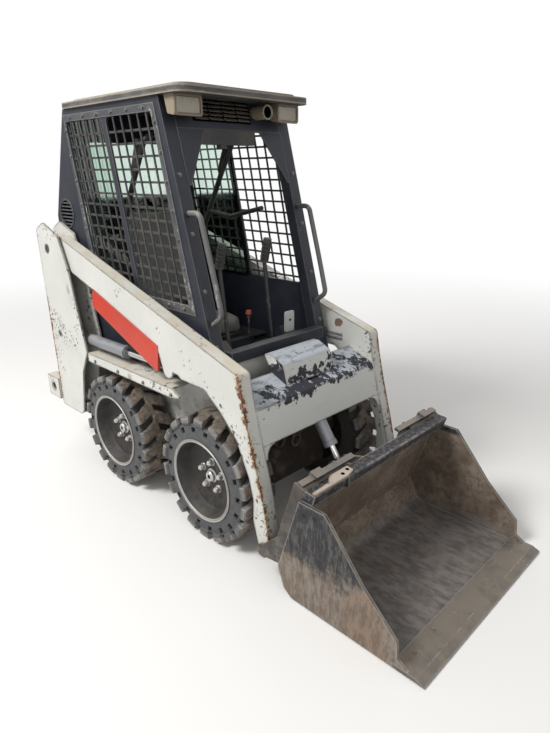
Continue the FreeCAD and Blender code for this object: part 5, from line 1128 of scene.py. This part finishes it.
class LOADER_OT_cushions(bpy.types.Operator):
    """Makes the seat's two stuffed cushions, swollen by a cloth simulation"""
    bl_idname = "loader.cushions"
    bl_label = "Cushions"

    def execute(self, context):
        seat = context.scene.loader_seat
        half = 0.196
        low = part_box("seat_cushions")[0]
        bottom = low.z + 0.002
        front, rear = along(1.504), along(1.868)
        base = [(front, bottom), (rear, bottom), (rear, bottom + 0.068), (front + 0.10, bottom + 0.084),
                (front + 0.016, bottom + 0.078)]
        lean = (along(1.874) - along(1.790)) / 0.515
        back_low, back_high = 0.822, 1.322
        back = [(along(1.795) + lean * (z - 0.815) + offset, z) for z, offset in
                ((back_low, 0.004), (back_low, 0.074), (back_high, 0.074), (back_high, 0.010))]
        for name, outline in (("cushion_seat", base), ("cushion_back", back)):
            shape = bmesh.new()
            prism_into(shape, outline, -half, half)
            piece = mesh_piece(name, shape, [MATERIALS["seat_vinyl"]], 1.2)
            piece = bevel(piece, 0.018, 3, 0.5)
            self.stuff(piece, seat)
            self.pipe(piece, name, outline, half)
        return {"FINISHED"}

    def stuff(self, piece, seat):
        """Remeshes the block, blows it up a little as cloth and keeps every point within its swell."""
        voxels = piece.modifiers.new("Even mesh", "REMESH")
        voxels.mode = "VOXEL"
        voxels.voxel_size = 0.0065
        settle(piece)
        before = [v.co.copy() for v in piece.data.vertices]
        cloth = piece.modifiers.new("Stuffing", "CLOTH")
        cloth.settings.use_pressure = True
        cloth.settings.uniform_pressure_force = seat.pressure
        cloth.settings.effector_weights.gravity = 0.0
        cloth.settings.quality = 5
        cloth.settings.tension_stiffness = 18.0
        cloth.settings.compression_stiffness = 10.0
        scene = bpy.context.scene
        for step in range(1, 21):
            scene.frame_set(step)
        swollen = bpy.data.meshes.new_from_object(piece.evaluated_get(bpy.context.evaluated_depsgraph_get()))
        piece.modifiers.clear()
        scene.frame_set(1)
        for vertex, start, moved in zip(piece.data.vertices, before, swollen.vertices):
            push = moved.co - start
            if push.length > seat.swell:
                push *= seat.swell / push.length
            vertex.co = start + push
        bpy.data.meshes.remove(swollen)
        low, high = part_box("seat_cushions")
        for vertex in piece.data.vertices:
            vertex.co.x = max(low.x, min(high.x, vertex.co.x))
            vertex.co.z = max(low.z, vertex.co.z)
        smoother = piece.modifiers.new("Even skin", "SMOOTH")
        smoother.factor = 0.5
        smoother.iterations = 4
        finer = piece.modifiers.new("Finer", "SUBSURF")
        finer.levels = finer.render_levels = 1
        settle(piece)
        piece.data.shade_smooth()

    def pipe(self, piece, name, outline, half):
        """Sews a welt round each side of the cushion, laid on its swollen skin."""
        shape = bmesh.new()
        corners = [Vector(place) for place in outline]
        for x in (-half, half):
            path = []
            for number, corner in enumerate(corners):
                following = corners[(number + 1) % len(corners)]
                count = max(1, round((following - corner).length / 0.012))
                for step in range(count):
                    y, z = corner.lerp(following, step / count)
                    met, place, facing, _ = piece.closest_point_on_mesh((x, y, z))
                    if not met:
                        raise RuntimeError("the welt of " + name + " found no cushion")
                    path.append(place + facing * 0.0006)
            for _ in range(3):
                path = [(path[n - 1] + path[n] * 2 + path[(n + 1) % len(path)]) / 4 for n in range(len(path))]
            pipe_into(shape, path, 0.0032, smooth=False, closed=True)
        welts = trim_piece(name + "_welts", shape, ["seat_vinyl"], "chassis", 0.0)
        low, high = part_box("seat_cushions")
        for vertex in welts.data.vertices:
            vertex.co.x = max(low.x, min(high.x, vertex.co.x))
        ride_and_slot(piece, "chassis")
        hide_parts("seat_cushions")


SCREEN_INNER = [(1.228, 0.986), (1.947, 0.986), (2.108, 1.722), (1.4058, 1.722)]
SCREEN_OUTER = [(1.186, 0.950), (1.975, 0.950), (2.125, 1.752), (1.385, 1.752)]


class LOADER_OT_cab_trim(bpy.types.Operator):
    """Adds the cab's gussets, header grille, lamp and horn rims, screen borders, side vents and window seal"""
    bl_idname = "loader.cab_trim"
    bl_label = "Cab trim"

    def execute(self, context):
        shape = bmesh.new()
        for side in (-1, 1):
            gusset = [(side * 0.150, 1.664), (side * 0.288, 1.664), (side * 0.288, 1.450), (side * 0.274, 1.450)]
            panel_into(shape, on_cab_front, gusset, -0.003, 0.004)
        trim_piece("door_gussets", shape, ["cab_paint"], "chassis")
        self.grille()
        self.lamps()
        self.borders()
        self.vents()
        shape = bmesh.new()
        frame_into(shape, on_cab_rear, rounded(-0.262, 1.168, 0.262, 1.652, 0.03),
                   rounded(-0.246, 1.184, 0.246, 1.636, 0.02), 0.0, 0.007)
        trim_piece("rear_window_seal", shape, ["seal_rubber"], "chassis", 0.0015)
        return {"FINISHED"}

    def grille(self):
        """Rows of short louvres over a panel of painted shade, between the work lamps."""
        shape = bmesh.new()
        panel_into(shape, on_cab_front, [(-0.198, 1.692), (0.112, 1.692), (0.112, 1.778), (-0.198, 1.778)],
                   -0.004, 0.001)
        backing = mesh_piece("grille_backing", shape, [MATERIALS["void_black"]])
        shape = bmesh.new()
        profile = ((-0.014, -0.001), (-0.014, 0.003), (-0.003, 0.010), (-0.003, 0.006))
        loop_into(shape, [[on_cab_front(x, 1.699 + up, depth) for depth, up in profile] for x in (-0.192, -0.127)])
        slat = bevel(mesh_piece("louvre", shape, [MATERIALS["grille_paint"]]), 0.0008, 1)
        rows = row_tree("Repeat in a row")
        for count, step in ((4, (0.076, 0.0, 0.0)), (5, (0.0, 0.0156 * 0.2753, 0.0156))):
            slat = run_tree(slat, rows, {"Count": count, "Step": step, "Finish": MATERIALS["grille_paint"]})
        grille = joined("header_grille", [backing, slat])
        ride_and_slot(grille, "chassis")

    def lamps(self):
        """Rims and lenses of the work and tail lamps, and the horn's mouth with a disc of painted shade at its bottom.
        """
        shape = bmesh.new()
        lenses = bmesh.new()
        tails = bmesh.new()
        for side in (-1, 1):
            low, high = sorted((side * 0.206, side * 0.338))
            frame_into(shape, on_front, rounded(low, 1.700, high, 1.776, 0.014),
                       rounded(low + 0.009, 1.709, high - 0.009, 1.767, 0.009), 1.2605, 1.267)
            panel_into(lenses, on_front, rounded(low + 0.0095, 1.7095, high - 0.0095, 1.7665, 0.009), 1.2660, 1.2705)
            low, high = sorted((side * 0.401, side * 0.435))
            tail = [on for on in rounded(low, 0.972, high, 1.068, 0.006)]
            panel_into(tails, lambda x, z, e: (x, along(e + (z - 0.972) * 0.0463), z), tail, 2.3335, 2.3600)
        trim_piece("work_lamp_rims", shape, ["lamp_plastic"], "chassis", 0.0015)
        trim_piece("work_lamp_lenses", lenses, ["lens"], "chassis", 0.0015)
        trim_piece("tail_lamp_lenses", tails, ["tail_lens"], "chassis", 0.0015)
        horn = bmesh.new()
        frame_into(horn, on_front, circle(0.150, 1.738, 0.0300), circle(0.150, 1.738, 0.0235), 1.2640, 1.2755)
        # The disc at the bottom of the horn's mouth is painted shade.
        panel_into(horn, on_front, circle(0.150, 1.738, 0.0240), 1.2700, 1.2740, 1)
        trim_piece("horn_mouth", horn, ["roof_paint", "void_black"], "chassis", 0.0015)

    def borders(self):
        """Bolted strips round the side screens."""
        shape = bmesh.new()
        for side in (-1, 1):
            frame_into(shape, on_side, SCREEN_OUTER, SCREEN_INNER, side * 0.3445, side * 0.3488)
        trim_piece("screen_borders", shape, ["strip_paint"], "chassis")

    def vents(self):
        """Round vents low behind the side screens: a rim, a disc of painted shade and slats across it."""
        rims = bmesh.new()
        for side in (-1, 1):
            frame_into(rims, on_side, circle(2.205, 1.304, 0.0740, 48), circle(2.205, 1.304, 0.0640, 48),
                       side * 0.3400, side * 0.3485)
            # The disc behind the slats is painted shade.
            panel_into(rims, on_side, circle(2.205, 1.304, 0.0650, 48), side * 0.3370, side * 0.3395, 1)
            for row in range(-3, 4):
                half = math.sqrt(0.064 ** 2 - (row * 0.017) ** 2)
                z = 1.304 + row * 0.017
                low, high = sorted((side * 0.3390, side * 0.3450))
                box_into(rims, (low, along(2.205 - half), z - 0.0035), (high, along(2.205 + half), z + 0.0035), 0)
        trim_piece("side_vents", rims, ["cab_paint", "void_black"], "chassis")


class LOADER_OT_controls(bpy.types.Operator):
    """Adds the operator's grips, boots, knob and pedal, and the pads of the seat bar"""
    bl_idname = "loader.controls"
    bl_label = "Controls"

    def execute(self, context):
        boots = bmesh.new()
        grips = bmesh.new()
        for side in (-1, 1):
            x = side * 0.135
            rod_into(boots, (x, along(1.190), 0.530), (x, along(1.200), 0.585), 0.034, 28, end_radius=0.016)
            for ring in range(3):
                rod_into(boots, (x, along(1.192 + 0.003 * ring), 0.538 + 0.015 * ring),
                         (x, along(1.194 + 0.003 * ring), 0.545 + 0.015 * ring), 0.035 - 0.005 * ring, 28)
            pipe_into(grips, [(x, along(1.283), 1.105), (x, along(1.281), 1.120), (x, along(1.274), 1.155),
                              (x, along(1.264), 1.192), (x, along(1.259), 1.212)], 0.0195)
            for ring in range(5):
                z = 1.125 + ring * 0.017
                rod_into(grips, (x, along(1.2805 - 0.0042 * ring), z), (x, along(1.279 - 0.0042 * ring), z + 0.006),
                         0.0212, 24)
        trim_piece("lever_boots", boots, ["seal_rubber"], "chassis", 0.0012)
        trim_piece("lever_grips", grips, ["seal_rubber"], "chassis", 0.0010)
        shape = bmesh.new()
        rod_into(shape, (0.222, along(1.490), 0.789), (0.222, along(1.490), 0.806), 0.009, 20)
        rod_into(shape, (0.222, along(1.490), 0.806), (0.222, along(1.490), 0.826), 0.0175, 28, end_radius=0.013)
        trim_piece("stop_knob", shape, ["support_paint"], "chassis", 0.0020)
        shape = bmesh.new()
        panel_into(shape, on_front, rounded(0.146, 0.786, 0.206, 0.884, 0.008), 1.158, 1.166)
        # A small disc of painted shade on the bracket's face.
        panel_into(shape, on_front, circle(0.178, 0.842, 0.0065, 20), 1.1575, 1.1585, 1)
        trim_piece("pedal_bracket", shape, ["bracket_paint", "void_black"], "chassis")
        shape = bmesh.new()
        for side in (-1, 1):
            x = side * 0.250
            sleeve = [(x, along(1.650), 1.632), (x, along(1.685), 1.555), (x, along(1.707), 1.500)]
            pipe_into(shape, sleeve, 0.0165)
        pipe_into(shape, [(-0.14, along(1.600), 1.650), (0.0, along(1.600), 1.650), (0.14, along(1.600), 1.650)], 0.018)
        trim_piece("bar_pads", shape, ["seal_rubber"], "seat_bar", 0.0)
        return {"FINISHED"}


class LOADER_OT_fasteners(bpy.types.Operator):
    """Sets bolt heads on the plates of four bodies"""
    bl_idname = "loader.fasteners"
    bl_label = "Fasteners"

    def execute(self, context):
        tree = scatter_tree("Set fasteners")
        head = self.head()
        down, inward = (0.0, 0.0, -1.0), (0.0, -1.0, 0.0)
        points = {"chassis": self.border_points(), "lift_arms": [], "tool": [], "tailgate": []}
        for side in (-1, 1):
            aside = (-side, 0.0, 0.0)
            chassis = points["chassis"]
            chassis += [surface_of("fenders", (side * 0.6, along(e), 0.62), aside) for e in (1.25, 1.46, 1.67, 1.88)]
            chassis += [surface_of("cab_roof", (side * 0.33, along(1.36 + 0.115 * n), 2.0), down) for n in range(7)]
            chassis += [surface_of("engine_cover", (side * x, along(2.335), 2.0), down) for x in (0.08, 0.19, 0.29)]
            chassis += [surface_of("cab_sides", (side * 0.32, along(0.9), z), (0.0, 1.0, 0.0))
                        for z in (0.83, 1.05, 1.27, 1.49)]
            points["lift_arms"] += [surface_of("tilt_cover", (side * 0.3, along(e), 0.742), aside)
                                    for e in (0.905, 0.950)]
            points["tool"] += [surface_of("cutting_edge", (side * x, along(0.094), 0.3), down) for x in (0.24, 0.44)]
            points["tailgate"] += [surface_of("tailgate", (side * 0.315, along(3.0), z), inward)
                                   for z in (0.45, 0.67, 0.89, 1.09)]
        for number, (body, places) in enumerate(points.items()):
            mesh = bpy.data.meshes.new("bolts_" + body)
            mesh.from_pydata([place for place, _ in places], [], [])
            facing = mesh.attributes.new("facing", "FLOAT_VECTOR", "POINT")
            for entry, (_, way) in zip(facing.data, places):
                entry.vector = way
            piece = bpy.data.objects.new("bolts_" + body, mesh)
            context.scene.collection.objects.link(piece)
            run_tree(piece, tree, {"Fastener": head, "Seed": 3 + number, "Finish": MATERIALS["pin_steel"]})
            ride_and_slot(piece, body)
        bpy.data.objects.remove(head)
        return {"FINISHED"}

    def border_points(self):
        """Places of the bolts along the strips round the side screens."""
        points = []
        for side in (-1, 1):
            for number in range(4):
                inner = [Vector(SCREEN_INNER[(number + step) % 4]) for step in (0, 1)]
                outer = [Vector(SCREEN_OUTER[(number + step) % 4]) for step in (0, 1)]
                start, end = (inner[0] + outer[0]) / 2, (inner[1] + outer[1]) / 2
                count = round((end - start).length / 0.115)
                for step in range(count):
                    e, z = start.lerp(end, (step + 0.5) / count)
                    points.append((Vector((side * 0.3488, along(e), z)), Vector((side, 0.0, 0.0))))
        return points

    def head(self):
        """A hex head on its washer, standing on Z."""
        shape = bmesh.new()
        rod_into(shape, (0, 0, -0.0005), (0, 0, 0.0014), 0.0095, 20)
        rod_into(shape, (0, 0, 0.0014), (0, 0, 0.0062), 0.0072, 6)
        return bevel(mesh_piece("bolt_head", shape, [MATERIALS["pin_steel"]], 0.5), 0.0006, 1)


class LOADER_OT_work_trim(bpy.types.Operator):
    """Adds the arms' welds and pipes, the tub's hook ring and hoses, and the bucket's lug and plough bolts"""
    bl_idname = "loader.work_trim"
    bl_label = "Arm and bucket trim"

    def execute(self, context):
        beads = bmesh.new()
        pipes = bmesh.new()
        for side in (-1, 1):
            pipe_into(beads, [(side * 0.3742, along(e), z) for e, z in
                              ((0.770, 0.486), (0.778, 0.514), (0.797, 0.585), (0.816, 0.655), (0.826, 0.664),
                               (0.885, 0.688), (0.953, 0.716))], 0.0034)
            for row in range(2):
                pipe_into(pipes, [(side * 0.3690, along(e), z + row * 0.020) for e, z in
                                  ((1.000, 0.742), (1.080, 0.745), (1.300, 0.845), (1.600, 0.958), (1.950, 1.060))],
                          0.0052)
            for e, z in ((1.10, 0.764), (1.42, 0.901), (1.78, 1.021)):
                low, high = sorted((side * 0.3640, side * 0.3755))
                box_into(pipes, (low, along(e - 0.010), z - 0.018), (high, along(e + 0.010), z + 0.018))
        trim_piece("arm_welds", beads, ["weld_steel"], "lift_arms", 0.0)
        trim_piece("arm_pipes", pipes, ["barrel_paint"], "lift_arms", 0.0)
        self.tub_front()
        self.bucket()
        return {"FINISHED"}

    def tub_front(self):
        """A towing ring and looping hoses on the tub's front wall."""
        shape = bmesh.new()
        ring = [(0.050 + 0.026 * math.cos(turn), along(0.998), 0.322 + 0.030 * math.sin(turn))
                for turn in (math.tau * number / 16 for number in range(16))]
        pipe_into(shape, ring, 0.0060, closed=True)
        box_into(shape, (0.034, along(0.992), 0.344), (0.066, along(1.023), 0.366))
        trim_piece("towing_ring", shape, ["axle_iron"], "chassis", 0.0)
        shape = bmesh.new()
        for x, drop in ((-0.020, 0.0), (0.015, 0.022), (-0.110, 0.050)):
            pipe_into(shape, [(x, along(1.040), 0.470), (x + 0.004, along(1.012), 0.452),
                              (x + 0.020, along(0.999), 0.400 - drop), (x + 0.050, along(0.996), 0.372 - drop),
                              (x + 0.078, along(0.999), 0.392 - drop), (x + 0.090, along(1.010), 0.430 - drop),
                              (x + 0.094, along(1.036), 0.450 - drop)], 0.0085)
        trim_piece("tub_hoses", shape, ["seal_rubber"], "chassis", 0.0)

    def bucket(self):
        """A bright lug on the rim with two holes drawn as discs of painted shade, its web, and the plough bolts of the
        cutting edge.
        """
        shape = bmesh.new()
        outline = [(-0.440, 0.462), (-0.262, 0.462), (-0.214, 0.474), (-0.214, 0.506), (-0.318, 0.506),
                   (-0.350, 0.481), (-0.440, 0.477)]
        panel_into(shape, lambda x, e, z: (x, along(e), z - (e - 0.459) * -0.080), outline, 0.4715, 0.4785)
        web = [(-0.262, 0.458), (-0.240, 0.466), (-0.240, 0.476), (-0.262, 0.476)]
        panel_into(shape, on_top, web, 0.428, 0.473, 1)
        # Each hole is a thin disc of painted shade on the lug.
        for x, e in ((-0.232, 0.490), (-0.268, 0.482)):
            top = 0.4785 + (e - 0.459) * 0.080
            rod_into(shape, (x, along(e), top - 0.002), (x, along(e), top + 0.0007), 0.0075, 20, 2)
        trim_piece("rim_lug", shape, ["lug_paint", "edge_steel", "void_black"], "tool")
        shape = bmesh.new()
        for x in (-0.36, -0.12, 0.12, 0.36):
            rod_into(shape, (x, along(0.078), 0.006), (x, along(0.078), 0.0222), 0.0078, 24)
        trim_piece("plough_bolts", shape, ["pin_steel"], "tool")


class LOADER_OT_stage(bpy.types.Operator):
    """Lays the floor, the lights and the camera"""
    bl_idname = "loader.stage"
    bl_label = "Stage"

    def execute(self, context):
        stage = context.scene.loader_stage
        shape = bmesh.new()
        bmesh.ops.create_grid(shape, x_segments=1, y_segments=1, size=30.0)
        material, tree, surface = new_material("floor_paper")
        place = node(tree, "ShaderNodeTexCoord").outputs["Object"]
        away = node(tree, "ShaderNodeVectorMath", {0: place}, operation="LENGTH").outputs["Value"]
        far = remap(tree, away, 1.6, 7.0)
        seen = node(tree, "ShaderNodeLightPath").outputs["Is Camera Ray"]
        tree.links.new(mix(tree, far, stage.floor, (0.0, 0.0, 0.0, 1.0)), surface.inputs["Base Color"])
        surface.inputs["Emission Color"].default_value = (1.0, 1.0, 1.0, 1.0)
        tree.links.new(maths(tree, "MULTIPLY", far, seen), surface.inputs["Emission Strength"])
        surface.inputs["Roughness"].default_value = 0.9
        surface.inputs["Specular IOR Level"].default_value = 0.0
        floor = mesh_piece("floor", shape, [material])
        self.lights(context.scene, stage)
        self.camera(context.scene, stage)
        context.scene.view_settings.view_transform = "Standard"
        return {"FINISHED"}

    def lights(self, scene, stage):
        """An even sky, a soft key from the machine's right and a low fill."""
        world = bpy.data.worlds.new("studio")
        world.use_nodes = True
        tree = world.node_tree
        tree.nodes.clear()
        rays = node(tree, "ShaderNodeLightPath")
        seen = maths(tree, "MAXIMUM", rays.outputs["Is Camera Ray"],
                     maths(tree, "MAXIMUM", rays.outputs["Is Glossy Ray"], rays.outputs["Is Transmission Ray"]))
        strength = remap(tree, seen, 0.0, 1.0, stage.sky, 1.0)
        sky = node(tree, "ShaderNodeBackground", {"Color": (1.0, 1.0, 1.0, 1.0), "Strength": strength})
        output = tree.nodes.new("ShaderNodeOutputWorld")
        tree.links.new(sky.outputs[0], output.inputs["Surface"])
        scene.world = world
        for name, place, size, power in (("key", (-3.9, 1.3, 5.0), 2.0, 190.0 * stage.sun),
                                         ("fill", (-2.8, -5.2, 2.6), 4.0, 30.0 * stage.sun),
                                         ("rim", (4.4, 3.2, 3.4), 3.0, 36.0 * stage.sun)):
            lamp = bpy.data.lights.new(name, "AREA")
            lamp.size = size
            lamp.energy = power
            lit = bpy.data.objects.new(name, lamp)
            lit.location = place
            lit.rotation_euler = (Vector((0, 0, 0.7)) - Vector(place)).to_track_quat("-Z", "Y").to_euler()
            scene.collection.objects.link(lit)

    def camera(self, scene, stage):
        """The photograph's own standpoint."""
        lens = bpy.data.cameras.new("camera")
        lens.lens = stage.lens
        lens.sensor_width = 36.0
        lens.clip_end = 60.0
        eye = bpy.data.objects.new("camera", lens)
        heading, pitch, roll = math.radians(-45.3625), math.radians(90.0 - 19.2612), math.radians(-0.3382)
        turn = Matrix.Rotation(heading, 4, "Z") @ Matrix.Rotation(pitch, 4, "X") @ Matrix.Rotation(roll, 4, "Z")
        eye.matrix_world = Matrix.Translation((-1.697, -1.835, 1.506)) @ turn
        scene.collection.objects.link(eye)
        scene.camera = eye


class LOADER_PT_panel(bpy.types.Panel):
    """Lists the loader's steps in the sidebar"""
    bl_idname = "LOADER_PT_panel"
    bl_label = "Loader"
    bl_space_type = "VIEW_3D"
    bl_region_type = "UI"
    bl_category = "Loader"

    def draw(self, context):
        for step in STEPS:
            self.layout.operator(step.bl_idname)
        for settings in stage_settings():
            column = self.layout.column()
            for field in settings.bl_rna.properties.keys()[2:]:
                column.prop(settings, field)


GROUP_TYPES = (("loader_finish", LoaderFinish), ("loader_tyre", LoaderTyre), ("loader_seat", LoaderSeat),
               ("loader_stage", LoaderStage))
STEPS = (LOADER_OT_finishes, LOADER_OT_tyres, LOADER_OT_rims, LOADER_OT_cushions, LOADER_OT_cab_trim,
         LOADER_OT_controls, LOADER_OT_fasteners, LOADER_OT_work_trim, LOADER_OT_stage)


def register():
    for name, kind in GROUP_TYPES:
        bpy.utils.register_class(kind)
        setattr(bpy.types.Scene, name, bpy.props.PointerProperty(type=kind))
    for kind in STEPS + (LOADER_PT_panel,):
        bpy.utils.register_class(kind)


def unregister():
    for kind in reversed(STEPS + (LOADER_PT_panel,)):
        bpy.utils.unregister_class(kind)
    for name, kind in reversed(GROUP_TYPES):
        delattr(bpy.types.Scene, name)
        bpy.utils.unregister_class(kind)


def main():
    """Dresses the frame step by step."""
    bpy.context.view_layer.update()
    register()
    for step in STEPS:
        area, name = step.bl_idname.split(".")
        getattr(getattr(bpy.ops, area), name)()


if __name__ == "__main__":
    main()
